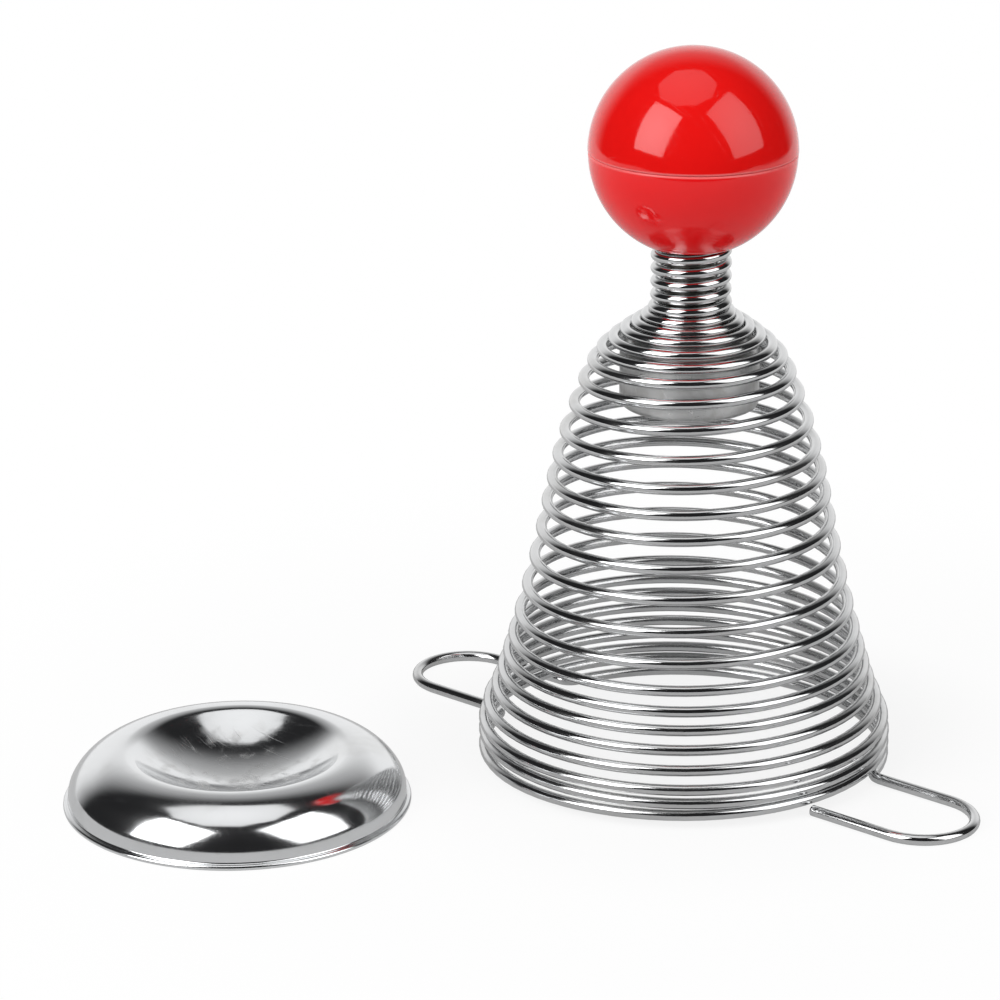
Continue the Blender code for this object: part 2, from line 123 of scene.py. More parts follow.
SEAT_GAP = 0.0003
SHELL_WALL = 0.0024
TONGUE_WALL = 0.0010
TONGUE_HEIGHT = 0.0018
HUB_WALL = 0.0018
HUB_CEILING = 0.0030
MOUTH_ROUNDING = 0.0003
UPPER_IOR = 1.5
LOWER_IOR = 1.43

STRIKER_TOP_RADIUS = 0.0056
STRIKER_EDGE = 0.0008
STRIKER_HOLLOW = 0.0012
DOME_CLEARANCE = 0.0004
DOME_FOOT_share = 0.76
DOME_POINTS = 61
BOLT_HOLE_RADIUS = 0.0023
BOLT_GRIP = 0.0080
BORE_EDGE = 0.0001
FIXING_EDGE = 0.00012
FIXING_ROUGHNESS = 0.34
# Spacing of the rings that the lathe and the polishing wheel left
STRIKER_RINGS = 0.00022
FIXING_RINGS = 0.00012
DISH_RINGS = 0.00035

BOLT_RADIUS = 0.0020
BOLT_HEAD_FLATS = 0.0070
BOLT_HEAD_HEIGHT = 0.0028
# Height over the foot of the bolt's head, how far its corners may stand out over the flats there
BOLT_HEAD_CORNERS = ((0.0, 0.0), (0.00012, 0.00025), (0.0014, 0.0020), (0.00224, 0.00095), (0.0028, -0.000105))
THREAD_PITCH = 0.0007
THREAD_DEPTH = 0.00035
THREAD_LENGTH = 0.0150
THREAD_STEPS = 8

BOWL_RADIUS = 0.0250
BOWL_FLOOR_HEIGHT = 0.0028
SIDE_ANGLE = 30.0
CREST_BEND = 0.0030
LIP_FILLET = 0.0003

KNOB_SIDES = 144
STRIKER_SIDES = 128
FIXING_SIDES = 96
BOLT_SIDES = 72
DISH_SIDES = 160

# Depths of the surface marks
POLISHED_BUMP = 0.000003
TURNED_BUMP = 0.000008
SKIN_BUMP = 0.000010

WHITE = (1.0, 1.0, 1.0, 1.0)
DIM = (0.02, 0.02, 0.021, 1.0)
GLOSSY_FLOOR_share = 0.5
# Each smooth change: where it starts, where it ends, and the values there if they aren't 0 and 1
# Paler band along the knob's seam: wear, and a painted highlight where the rounded lip catches the light
SEAM_WEAR_AND_HIGHLIGHT = (0.00015, 0.00045, 1.0, 0.0)
HOLLOW_SCUFFED = (0.008, 0.016, 1.0, 0.0)
BACKDROP_SIDES = (0.45, 0.85)
BACKDROP_RISE = (0.32, 0.60, 1.0, 0.5)
FLOOR_MIRRORED = (0.10, 0.45, 0.35, 1.0)
FLOOR_NEAR = (0.028, 0.060, 0.85, 0.955)
FLOOR_FAR = (0.062, 0.14, 0.0, 0.045)
SOFTBOX_FALL = (0.0, 1.4, 1.08, 0.88)
# Right and back of the bell's axis, as the camera sees it
FLOOR_CORNERS = ((-0.6, -0.27), (0.6, -0.27), (0.6, 1.2), (-0.6, 1.2))
LAMP_DISTANCE = 1.3
LAMP_AIM_share = 0.6
# Name, direction to the right, towards the camera and up, angular width and height, brightness, turn, sides
LAMPS = (
    ("softbox_left", (-0.665, 0.532, 0.524), 0.68, 0.89, 4.4, -5.0, 4),
    ("softbox_right", (0.698, 0.441, 0.564), 0.78, 1.10, 2.1, 7.0, 4),
    ("softbox_top", (-0.106, 0.027, 0.994), 0.95, 0.95, 1.0, 0.0, 8),
)

LENGTH = {"unit": "LENGTH", "precision": 5}
FINE_LENGTH = {"unit": "LENGTH", "precision": 6}
FACTOR = {"subtype": "FACTOR", "min": 0.0, "max": 1.0}
COLOUR = {"subtype": "COLOR", "size": 4, "min": 0.0, "max": 1.0}


# Sizes and colours that a user may change


class BellSettings(bpy.types.PropertyGroup):
    """Sizes and finish of the wire bell"""

    wire_diameter: FloatProperty(
        name="Wire Diameter", description="Thickness of the spring wire",
        default=0.0016, min=0.0008, max=0.003, **LENGTH,
    )
    foot_radius: FloatProperty(
        name="Foot Radius", description="Radius of the lowest turn, to the middle of the wire",
        default=0.0297, min=0.02, max=0.05, **LENGTH,
    )
    neck_radius: FloatProperty(
        name="Neck Radius", description="Radius of the neck, to the middle of the wire",
        default=0.00503, min=0.003, max=0.01, **LENGTH,
    )
    height: FloatProperty(
        name="Bell Height", description="Height at which the shoulder has become the neck",
        default=0.0706, min=0.04, max=0.12, **LENGTH,
    )
    loop_width: FloatProperty(
        name="Loop Width", description="Width of a finger loop, to the middle of the wire",
        default=0.0156, min=0.01, max=0.03, **LENGTH,
    )
    loop_reach: FloatProperty(
        name="Loop Reach", description="How far a finger loop reaches from the axis, to the middle of the wire",
        default=0.0505, min=0.04, max=0.08, **LENGTH,
    )
    points_per_turn: IntProperty(
        name="Points per Turn", description="Points of the route in one turn of the coil",
        default=72, min=24, max=120,
    )
    wire_sides: IntProperty(name="Wire Sides", description="Sides of the round wire", default=16, min=8, max=24)
    colour: FloatVectorProperty(
        name="Steel", description="Colour of the drawn wire", **COLOUR,
        default=(0.63, 0.635, 0.64, 1.0),
    )
    roughness: FloatProperty(
        name="Roughness", description="Roughness of the drawn wire where it is cleanest", **FACTOR,
        default=0.08,
    )


class KnobSettings(bpy.types.PropertyGroup):
    """Sizes and finish of the pull knob"""

    radius: FloatProperty(
        name="Ball Radius", description="Radius of the ball",
        default=0.0150, min=0.01, max=0.03, **LENGTH,
    )
    seam: FloatProperty(
        name="Seam", description="Clear gap between the two halves",
        default=0.00005, min=0.00003, max=0.0005, **FINE_LENGTH,
    )
    lip: FloatProperty(
        name="Lip Rounding", description="Rounding of both lips at the seam",
        default=0.00030, min=0.0001, max=0.0006, **FINE_LENGTH,
    )
    overhang: FloatProperty(
        name="Overhang", description="How far the upper lip stands out over the lower one",
        default=0.00008, min=0.0, max=0.0003, **FINE_LENGTH,
    )
    upper_colour: FloatVectorProperty(
        name="Upper Half", description="Colour of the upper half", **COLOUR,
        default=(0.87, 0.0080, 0.0070, 1.0),
    )
    # Painted light: the lower half is the same red plastic as the upper, made a lighter red to make up for the less
    # light that falls on its underside
    lower_colour_painted_lighter: FloatVectorProperty(
        name="Lower Half", description="Colour of the lower half", **COLOUR,
        default=(0.92, 0.0080, 0.0100, 1.0),
    )
    roughness: FloatProperty(
        name="Roughness", description="Roughness of the plastic where it is cleanest", **FACTOR,
        default=0.07,
    )


class StrikerSettings(bpy.types.PropertyGroup):
    """Size and finish of the striker, and finish of the pieces that hold it"""

    radius: FloatProperty(
        name="Striker Radius", description="Radius of the striker",
        default=0.0101, min=0.006, max=0.02, **LENGTH,
    )
    colour: FloatVectorProperty(
        name="Steel", description="Colour of the turned striker", **COLOUR,
        default=(0.66, 0.66, 0.66, 1.0),
    )
    roughness: FloatProperty(name="Roughness", description="Roughness of the turned striker", **FACTOR, default=0.30)
    fixing_colour: FloatVectorProperty(
        name="Plating", description="Colour of the plated bolt, washer and sleeve", **COLOUR,
        default=(0.60, 0.59, 0.56, 1.0),
    )


class DishSettings(bpy.types.PropertyGroup):
    """Sizes and finish of the dish"""

    radius: FloatProperty(
        name="Dish Radius", description="Radius of the dish over its lip",
        default=0.0251, min=0.015, max=0.04, **LENGTH,
    )
    height: FloatProperty(
        name="Dish Height", description="Height of the crest of the dish",
        default=0.0081, min=0.004, max=0.02, **LENGTH,
    )
    sheet: FloatProperty(
        name="Sheet", description="Thickness of the steel sheet",
        default=0.0008, min=0.0004, max=0.002, **LENGTH,
    )
    lip: FloatProperty(
        name="Lip", description="How far the lip stands out from the wall",
        default=0.0007, min=0.0003, max=0.003, **LENGTH,
    )
    side_bend: FloatProperty(
        name="Side Bend", description="Radius of the rounded side above the lip",
        default=0.0047, min=0.002, max=0.006, **LENGTH,
    )
    colour: FloatVectorProperty(
        name="Steel", description="Colour of the pressed sheet", **COLOUR,
        default=(0.76, 0.77, 0.78, 1.0),
    )
    roughness: FloatProperty(
        name="Roughness", description="Roughness of the sheet where it is cleanest", **FACTOR,
        default=0.10,
    )


class StageSettings(bpy.types.PropertyGroup):
    """Camera, lights and floor"""

    camera_place: FloatVectorProperty(
        name="Camera Place", description="Where the camera stands", subtype="TRANSLATION", size=3, unit="LENGTH",
        precision=4, default=(0.32295, -0.3864, 0.2173),
    )
    camera_heading: FloatProperty(
        name="Camera Heading", description="Direction in which the camera looks, from +Y towards -X",
        subtype="ANGLE", default=math.radians(40.62),
    )
    camera_pitch: FloatProperty(
        name="Camera Pitch", description="How far the camera looks down", subtype="ANGLE",
        default=math.radians(18.925),
    )
    lens: FloatProperty(
        name="Lens", description="Focal length on a 36 mm sensor, in millimetres",
        default=135.38, min=20.0, max=400.0,
    )
    floor_colour: FloatVectorProperty(
        name="Floor", description="Colour of the floor", **COLOUR,
        default=(0.92, 0.92, 0.92, 1.0),
    )
    light_level: FloatProperty(
        name="Light Level", description="Factor on the brightness of every lamp",
        default=1.0, min=0.0, max=5.0,
    )


class NutcrackerSettings(bpy.types.PropertyGroup):
    """All settings of the nutcracker"""

    bell: PointerProperty(type=BellSettings)
    knob: PointerProperty(type=KnobSettings)
    striker: PointerProperty(type=StrikerSettings)
    dish: PointerProperty(type=DishSettings)
    stage: PointerProperty(type=StageSettings)


# Node tools


def add_node(tree, kind, inputs=(), **settings):
    """Add a node, set its properties, and set or link its inputs."""
    node = tree.nodes.new(kind)
    node.location = (180 * (len(tree.nodes) % 9), -260 * (len(tree.nodes) // 9))
    for name, value in settings.items():
        setattr(node, name, value)
    for socket, value in dict(inputs).items():
        if isinstance(value, bpy.types.NodeSocket):
            tree.links.new(value, node.inputs[socket])
        else:
            node.inputs[socket].default_value = value
    return node


def link_all(tree, sockets, values):
    """Link values to the sockets of their names."""
    for name, value in values.items():
        tree.links.new(value, sockets[name])


def result(tree, kind, inputs=(), **settings):
    """The first output of a new node."""
    return add_node(tree, kind, inputs, **settings).outputs[0]


def maths(tree, operation, *values):
    """A Math node's result."""
    return result(tree, "ShaderNodeMath", dict(enumerate(values)), operation=operation)


def times(tree, first, second):
    """The product of two values."""
    return maths(tree, "MULTIPLY", first, second)


def vector_maths(tree, operation, *values):
    """A Vector Math node's result."""
    node = add_node(tree, "ShaderNodeVectorMath", dict(enumerate(values)), operation=operation)
    return node.outputs["Value" if operation in ("LENGTH", "DOT_PRODUCT") else "Vector"]


def ranged(tree, value, low, high, to_low=0.0, to_high=1.0):
    """A smooth Map Range of a value."""
    inputs = {"Value": value, "From Min": low, "From Max": high, "To Min": to_low, "To Max": to_high}
    return result(tree, "ShaderNodeMapRange", inputs, interpolation_type="SMOOTHSTEP")


def noise(tree, place, scale, detail=2.0, roughness=0.5, distortion=0.0):
    """The value of a Noise Texture."""
    inputs = {"Vector": place, "Scale": scale, "Detail": detail, "Roughness": roughness, "Distortion": distortion}
    return result(tree, "ShaderNodeTexNoise", inputs)


def mixed_colour(tree, factor, first, second):
    """A mix of two colours."""
    return add_node(tree, "ShaderNodeMix", {0: factor, 6: first, 7: second}, data_type="RGBA").outputs[2]


def combined(tree, x, y, z):
    """Three values as one vector."""
    return result(tree, "ShaderNodeCombineXYZ", {"X": x, "Y": y, "Z": z})


def split(tree, vector):
    """The three values of a vector, by their letters."""
    return add_node(tree, "ShaderNodeSeparateXYZ", {"Vector": vector}).outputs


def new_group(name, inputs, outputs):
    """An empty shader node group with its named sockets, and its input and output nodes."""
    tree = bpy.data.node_groups.new(name, "ShaderNodeTree")
    for label, default in inputs.items():
        kind = "NodeSocketVector" if isinstance(default, tuple) else "NodeSocketFloat"
        tree.interface.new_socket(label, in_out="INPUT", socket_type=kind).default_value = default
    for label in outputs:
        tree.interface.new_socket(label, in_out="OUTPUT", socket_type="NodeSocketFloat")
    return tree, tree.nodes.new("NodeGroupInput").outputs, tree.nodes.new("NodeGroupOutput").inputs


def use_group(tree, name, inputs):
    """Place a built node group in a material, and its outputs."""
    return add_node(tree, "ShaderNodeGroup", inputs, node_tree=bpy.data.node_groups[name]).outputs


# Shader node groups


def build_line_group():
    """Fine lines that run along a drawn wire, and the patches where the draw left it duller."""
    inputs = {"Along": 0.0, "Round": (0.0, 0.0, 0.0), "Lines": 6.0}
    tree, given, out = new_group("Drawn Lines", inputs, ("Height", "Mask"))
    lay = split(tree, given["Round"])
    along = times(tree, given["Along"], 45.0)
    around = [times(tree, lay[axis], given["Lines"]) for axis in ("X", "Y")]
    height = noise(tree, combined(tree, along, *around), 1.0, detail=3.0, roughness=0.6)
    patches = noise(tree, combined(tree, along, lay["X"], lay["Y"]), 0.9, detail=3.0)
    link_all(tree, out, {"Height": height, "Mask": ranged(tree, patches, 0.45, 0.70)})


def build_ring_group():
    """Fine rings that a lathe or a polishing wheel leaves round an axis."""
    inputs = {"Place": (0.0, 0.0, 0.0), "Spacing": 0.0002}
    tree, given, out = new_group("Turned Rings", inputs, ("Height", "Mask"))
    flat = vector_maths(tree, "MULTIPLY", given["Place"], (1.0, 1.0, 0.0))
    radius = vector_maths(tree, "LENGTH", flat)
    place = split(tree, given["Place"])
    lay = combined(
        tree, maths(tree, "DIVIDE", radius, given["Spacing"]), maths(tree, "DIVIDE", place["Z"], given["Spacing"]),
        times(tree, place["X"], 30.0),
    )
    height = noise(tree, lay, 1.0, detail=2.0, roughness=0.6)
    bands = noise(tree, lay, 0.12, detail=2.0)
    link_all(tree, out, {"Height": height, "Mask": ranged(tree, bands, 0.42, 0.66)})


def build_scratch_group():
    """Long hairline scratches in three directions, thicker in some patches than in others."""
    inputs = {"Place": (0.0, 0.0, 0.0), "Scale": 1.0, "Width": 0.006}
    tree, given, out = new_group("Hairline Scratches", inputs, ("Mask",))
    inputs = {0: given["Place"], "Scale": given["Scale"]}
    scaled = result(tree, "ShaderNodeVectorMath", inputs, operation="SCALE")
    strongest = None
    for turn, tilt in ((0.3, 0.9), (1.4, -0.5), (2.5, 0.2)):
        inputs = {"Vector": scaled, "Rotation": (tilt, 0.0, turn), "Scale": (40.0, 420.0, 90.0)}
        field = noise(tree, result(tree, "ShaderNodeMapping", inputs), 1.0, detail=1.0)
        off_line = maths(tree, "ABSOLUTE", maths(tree, "SUBTRACT", field, 0.5))
        line = ranged(tree, off_line, 0.0, given["Width"], 1.0, 0.0)
        patch = noise(tree, vector_maths(tree, "ADD", scaled, (turn, tilt, turn)), 160.0, detail=1.0)
        line = times(tree, line, ranged(tree, patch, 0.46, 0.60))
        strongest = line if strongest is None else maths(tree, "MAXIMUM", strongest, line)
    tree.links.new(strongest, out["Mask"])


def build_smudge_group():
    """Soft patches where hands have dulled a polished surface."""
    inputs = {"Place": (0.0, 0.0, 0.0), "Scale": 120.0}
    tree, given, out = new_group("Handling Smudges", inputs, ("Mask",))
    large = noise(tree, given["Place"], given["Scale"], detail=3.0, roughness=0.55, distortion=0.6)
    small = noise(tree, given["Place"], times(tree, given["Scale"], 6.0), detail=2.0)
    both = times(tree, ranged(tree, large, 0.44, 0.68), ranged(tree, small, 0.2, 0.7, 0.55, 1.0))
    tree.links.new(both, out["Mask"])


def build_skin_group():
    """The faint waviness of a moulded skin."""
    tree, given, out = new_group("Moulded Skin", {"Place": (0.0, 0.0, 0.0)}, ("Height", "Mask"))
    wide = noise(tree, given["Place"], 130.0, detail=1.0)
    fine = noise(tree, given["Place"], 900.0, detail=2.0)
    height = maths(tree, "ADD", wide, times(tree, fine, 0.12))
    patches = noise(tree, given["Place"], 60.0, detail=3.0)
    link_all(tree, out, {"Height": height, "Mask": ranged(tree, patches, 0.35, 0.70)})


# Materials


def new_material(name, colour, roughness, metallic, ior=1.5):
    """A material with its shader, the place on the piece, and a plain viewport colour."""
    material = bpy.data.materials.new(name)
    material.use_nodes = True
    material.diffuse_color = colour
    tree = material.node_tree
    shader = tree.nodes["Principled BSDF"]
    shader.inputs["Base Color"].default_value = colour
    shader.inputs["Roughness"].default_value = roughness
    shader.inputs["Metallic"].default_value = metallic
    shader.inputs["IOR"].default_value = ior
    place = add_node(tree, "ShaderNodeTexCoord").outputs["Object"]
    return material, tree, shader, place


def tinted(colour, factor, warmth=0.0):
    """A colour made lighter or darker, and a little warmer."""
    red, green, blue = colour[:3]
    factors = (factor, factor * (1 - warmth / 3), factor * (1 - warmth))
    return (*(min(value * share, 1.0) for value, share in zip((red, green, blue), factors)), 1.0)


def join_finish(tree, shader, colour, roughness, height, depth):
    """Feed the shader a colour, a roughness, and a height as a bump of a real depth in metres."""
    bump = result(tree, "ShaderNodeBump", {"Height": height, "Distance": depth, "Strength": 1.0})
    link_all(tree, shader.inputs, {"Base Color": colour, "Roughness": roughness, "Normal": bump})


def summed(tree, start, *parts):
    """A base value plus masks, each times its own amount."""
    total = start
    for mask, amount in parts:
        total = maths(tree, "ADD", total, times(tree, mask, amount))
    return total


def about(tree, place, x, y):
    """The place on a piece, measured from its upright axis."""
    return vector_maths(tree, "SUBTRACT", place, (x, y, 0.0))


def smudge_mask(tree, place, scale):
    """Where hands have dulled a surface."""
    return use_group(tree, "Handling Smudges", {"Place": place, "Scale": scale})["Mask"]


def scratch_mask(tree, place, scale, width):
    """Where hairline scratches run over a surface."""
    return use_group(tree, "Hairline Scratches", {"Place": place, "Scale": scale, "Width": width})["Mask"]


def wire_material(bell):
    """Polished spring steel with the lines of the drawing die along it."""
    material, tree, shader, place = new_material("wire_steel_drawn", bell.colour, bell.roughness, 1.0)
    along = add_node(tree, "ShaderNodeAttribute", attribute_name="wire_along").outputs["Fac"]
    lay = add_node(tree, "ShaderNodeAttribute", attribute_name="wire_round").outputs["Vector"]
    lines = use_group(tree, "Drawn Lines", {"Along": along, "Round": lay, "Lines": 6.0})
    smudges = smudge_mask(tree, place, 95.0)
    shade = mixed_colour(tree, times(tree, smudges, 0.45), bell.colour, tinted(bell.colour, 0.80, 0.05))
    rough = summed(tree, bell.roughness, (lines["Mask"], 0.04), (smudges, 0.08), (lines["Height"], 0.03))
    join_finish(tree, shader, shade, rough, lines["Height"], POLISHED_BUMP)
    return material


def plastic_material(name, knob, colour, ior, seam_height):
    """Glossy moulded plastic, paler along the lip of the seam, where wear and a painted highlight of the rounded lip
    lighten it.
    """
    material, tree, shader, place = new_material(name, colour, knob.roughness, 0.0, ior)
    skin = use_group(tree, "Moulded Skin", {"Place": place})
    smudges = smudge_mask(tree, place, 140.0)
    scratches = scratch_mask(tree, place, 1.0, 0.004)
    off_seam = maths(tree, "ABSOLUTE", maths(tree, "SUBTRACT", split(tree, place)["Z"], seam_height))
    # Painted highlight and wear: the band along the seam is made paler, standing in for the light the rounded lips
    # catch as well as for their wear
    seam_wear_and_highlight = times(tree, ranged(tree, off_seam, *SEAM_WEAR_AND_HIGHLIGHT), 0.90)
    shade = mixed_colour(tree, times(tree, skin["Mask"], 0.5), colour, tinted(colour, 0.93))
    pale = (min(colour[0] * 1.1, 1.0), colour[1] + 0.20, colour[2] + 0.20, 1.0)
    shade = mixed_colour(tree, seam_wear_and_highlight, shade, pale)
    rough = summed(tree, knob.roughness, (smudges, 0.05), (scratches, 0.16), (seam_wear_and_highlight, 0.25))
    join_finish(tree, shader, shade, rough, summed(tree, skin["Height"], (scratches, -0.25)), SKIN_BUMP)
    return material


def turned_material(name, colour, roughness, spacing):
    """Satin turned steel, with the rings of the lathe and the marks of use."""
    material, tree, shader, place = new_material(name, colour, roughness, 1.0)
    rings = use_group(tree, "Turned Rings", {"Place": about(tree, place, AXIS_X, AXIS_Y), "Spacing": spacing})
    smudges = smudge_mask(tree, place, 260.0)
    scratches = scratch_mask(tree, place, 1.6, 0.010)
    shade = mixed_colour(tree, times(tree, smudges, 0.6), colour, tinted(colour, 0.78, 0.06))
    bright = mixed_colour(tree, times(tree, scratches, 0.5), shade, tinted(colour, 1.2))
    rough = summed(tree, roughness, (rings["Mask"], 0.08), (smudges, 0.10), (scratches, -0.08))
    join_finish(tree, shader, bright, rough, summed(tree, rings["Height"], (scratches, -0.8)), TURNED_BUMP)
    return material


def dish_material(dish):
    """Polished pressed sheet, with faint wheel rings, hairlines, and scuffs in the hollow."""
    material, tree, shader, place = new_material("dish_steel_pressed", dish.colour, dish.roughness, 1.0)
    centred = about(tree, place, DISH_X, DISH_Y)
    rings = use_group(tree, "Turned Rings", {"Place": centred, "Spacing": DISH_RINGS})
    smudges = smudge_mask(tree, place, 85.0)
    scratches = scratch_mask(tree, place, 1.0, 0.007)
    radius = vector_maths(tree, "LENGTH", vector_maths(tree, "MULTIPLY", centred, (1.0, 1.0, 0.0)))
    hollow = ranged(tree, radius, *HOLLOW_SCUFFED)
    scuffs = times(tree, ranged(tree, noise(tree, place, 420.0, detail=3.0), 0.46, 0.72), hollow)
    marks = times(tree, scratches, maths(tree, "ADD", times(tree, hollow, 0.7), 0.3))
    dulled = maths(tree, "MAXIMUM", times(tree, smudges, 0.4), times(tree, scuffs, 0.6))
    shade = mixed_colour(tree, dulled, dish.colour, tinted(dish.colour, 0.84, 0.03))
    rough = summed(tree, dish.roughness, (smudges, 0.07), (scuffs, 0.18), (marks, 0.20), (rings["Mask"], 0.03))
    height = summed(tree, rings["Height"], (marks, -0.8), (scuffs, -0.5))
    join_finish(tree, shader, shade, rough, height, POLISHED_BUMP)
    return material


# Shapes


def arc(centre, radius, start, end, steps):
    """Points on an arc, both ends included. The angles are in degrees."""
    angles = np.radians(np.linspace(start, end, steps + 1))
    return [(centre[0] + radius * math.cos(a), centre[1] + radius * math.sin(a)) for a in angles]


def rounded(corners, steps=5):
    """A line through (x, y, rounding) corners, with an arc in place of each rounded one."""
    line = []
    for i, (x, y, rounding) in enumerate(corners):
        here = Vector((x, y))
        if rounding == 0:
            line.append((x, y))
            continue
        into = (Vector(corners[i - 1][:2]) - here).normalized()
        out = (Vector(corners[(i + 1) % len(corners)][:2]) - here).normalized()
        half = into.angle(out) / 2
        centre = here + (into + out).normalized() * (rounding / math.sin(half))
        start = here + into * (rounding / math.tan(half)) - centre
        swing = (math.pi - 2 * half) * math.copysign(1.0, into.x * out.y - into.y * out.x)
        for share in np.linspace(0.0, 1.0, steps + 1):
            turned = Matrix.Rotation(-swing * share, 2) @ start
            line.append(tuple(centre + turned))
    return line


def skinned_mesh(name, rings, closed=False):
    """Join rings of points, or single points on the axis, into one mesh with its faces outwards."""
    counts = [len(ring) for ring in rings]
    starts = np.concatenate(([0], np.cumsum(counts)))[:-1]
    verts = [point for ring in rings for point in ring]
    last = len(rings) if closed else len(rings) - 1
    faces = []
    for a in range(last):
        b = (a + 1) % len(rings)
        sides = max(counts[a], counts[b])
        for i in range(sides):
            corners = [(a, i), (a, i + 1), (b, i + 1), (b, i)]
            face = [int(starts[ring] + step % counts[ring]) for ring, step in corners]
            faces.append(list(dict.fromkeys(face)))
    mesh = bpy.data.meshes.new(name)
    mesh.from_pydata(verts, [], faces)
    mesh.update()
    points = np.array(verts)
    fans = ((face[0], face[i], face[i + 1]) for face in faces for i in range(1, len(face) - 1))
    if sum(np.dot(points[a], np.cross(points[b], points[c])) for a, b, c in fans) < 0:
        mesh.flip_normals()
    return mesh


def turned_mesh(name, outline, sides, x, y):
    """Turn an outline of (radius, height) points round an upright axis into one closed mesh.

    A radius is one number, or one for each side.
    """
    angles = np.arange(sides) * (math.tau / sides)
    rings = []
    for radius, height in outline:
        radii = np.broadcast_to(radius, sides)
        if radii[0] < SLOPE_STEP:
            rings.append([(x, y, height)])
        else:
            rings.append([(x + r * math.cos(a), y + r * math.sin(a), height) for r, a in zip(radii, angles)])
    return skinned_mesh(name, rings, closed=len(rings[0]) > 1)


def new_object(name, data):
    """A new object in the scene."""
    obj = bpy.data.objects.new(name, data)
    bpy.context.scene.collection.objects.link(obj)
    return obj


def link_piece(name, mesh, material, sharp_angle):
    """Link a mesh as one named piece, in place of an earlier one of that name."""
    earlier = bpy.data.objects.get(name)
    if earlier is not None:
        bpy.data.objects.remove(earlier, do_unlink=True)
    mesh.name = name
    mesh.materials.clear()
    mesh.materials.append(material)
    mesh.shade_smooth()
    mesh.set_sharp_from_angle(angle=math.radians(sharp_angle))
    return new_object(name, mesh)


# The wire bell


def smooth_curve(stations):
    """A smooth function through (place, value) stations that never overshoots them."""
    places = np.array([place for place, _ in stations])
    values = np.array([value for _, value in stations])
    steps = np.diff(places)
    slopes = np.diff(values) / steps
    tangents = np.zeros(len(places))
    for i in range(1, len(places) - 1):
        if slopes[i - 1] * slopes[i] > 0:
            before = 2 * steps[i] + steps[i - 1]
            after = steps[i] + 2 * steps[i - 1]
            tangents[i] = (before + after) / (before / slopes[i - 1] + after / slopes[i])

    def value_at(place):
        place = min(max(place, places[0]), places[-1])
        i = min(max(int(np.searchsorted(places, place)) - 1, 0), len(steps) - 1)
        t = (place - places[i]) / steps[i]
        ends = (1 + 2 * t) * (1 - t) ** 2 * values[i] + t * t * (3 - 2 * t) * values[i + 1]
        lean = t * (1 - t) ** 2 * tangents[i] + t * t * (t - 1) * tangents[i + 1]
        return float(ends + steps[i] * lean)

    return value_at


BELL_FORM = smooth_curve(BELL_FORM_shares)


def bell_radius(bell, height):
    """Radius of the bell, to the middle of the wire, at a height above the table."""
    return bell.neck_radius + (bell.foot_radius - bell.neck_radius) * BELL_FORM(height / bell.height)


def bell_slope(bell, height):
    """How much the bell's radius grows for each metre of height."""
    return (bell_radius(bell, height + SLOPE_STEP) - bell_radius(bell, height - SLOPE_STEP)) / (2 * SLOPE_STEP)


def rest_height(bell):
    """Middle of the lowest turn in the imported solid, whose wire is cut flat where it stands."""
    return bell.wire_diameter * (math.cos(math.pi / WIRE_FLAT_SIDES) / 2 - WIRE_FLAT_share)


def socket_ceiling(bell):
    """Height of the ceiling of the knob's socket, where the neck ends."""
    return bell.height + NECK_SHOWN + SOCKET_DEPTH


def finger_loop(bell):
    """The wire's way round one finger loop, in at -Y and back at +Y, along +X."""
    half_width = bell.loop_width / 2
    offset = half_width + LOOP_BEND
    reach = bell.foot_radius + LOOP_BEND
    corner_x = math.sqrt(reach ** 2 - offset ** 2)
    corner_angle = math.degrees(math.asin(offset / reach))
    end_x = bell.loop_reach - half_width
    way_in = arc((corner_x, -offset), LOOP_BEND, 180 - corner_angle, 90, LOOP_BEND_STEPS)
    bow = arc((end_x, 0.0), half_width, -90, 90, LOOP_BOW_STEPS)
    way_out = arc((corner_x, offset), LOOP_BEND, 270, 180 + corner_angle, LOOP_BEND_STEPS)
    return way_in + bow + way_out, corner_angle


def coil_climb(bell, corner_angle):
    """How high the coil stands after so many degrees, from the foot to its end in the knob."""
    step = 360 / COIL_POINTS
    gaps_at, gaps = zip(*GAP_STATIONS)
    rest = rest_height(bell)
    pitch = bell.wire_diameter + gaps[0]
    height = rest + pitch
    climb_to = 360 + corner_angle
    stations = [(180 + corner_angle, rest), *((angle, rest + rise) for angle, rise in FIRST_TURN), (climb_to, height)]
    turned = step * (math.ceil(climb_to / step - 0.5) + 0.5)
    height += (turned - climb_to) / 360 * pitch
    top = socket_ceiling(bell) - SEAT_GAP - bell.wire_diameter / 2
    while height < top:
        stations.append((turned, height))
        gap = float(np.interp(height / bell.height, gaps_at, gaps))
        height += (bell.wire_diameter + gap) / COIL_POINTS / math.hypot(1.0, bell_slope(bell, height))
        turned += step
    stations.append((turned, height))
    return smooth_curve(stations), stations[-2][0] + math.degrees(bell.wire_diameter / bell.neck_radius)


def pull_shares(bell, turned, heights, radii):
    """How far each point of the coil follows the knob: 0 at the foot, 1 from the striker's shoulder up.

    A turn gives way as the cube of its radius, and none closes by more than its gap when the knob is pressed down.
    """
    rise = np.interp(turned + 180, turned, heights) - np.interp(turned - 180, turned, heights)
    spread = np.interp(turned + 180, turned, radii) - np.interp(turned - 180, turned, radii)
    touching = np.sqrt(np.maximum(bell.wire_diameter ** 2 - spread ** 2, 0.0))
    room = ROOM_share * np.maximum(rise - touching, 0.0) / -PULL_RANGE[0]
    free = heights < RIDE_HEIGHT
    step_turns = np.gradient(turned) / 360
    low, high = 0.0, 1.0
    for _ in range(HALVINGS):
        middle = (low + high) / 2
        gives = np.minimum(middle * (radii / bell.foot_radius) ** 3, room) * step_turns * free
        low, high = (middle, high) if gives.sum() < 1 else (low, middle)
    if gives.sum() < LEAST_GIVE_share:
        raise RuntimeError("the turns have too little room to close by the whole push")
    return np.clip(np.cumsum(gives) / gives.sum(), 0.0, 1.0)


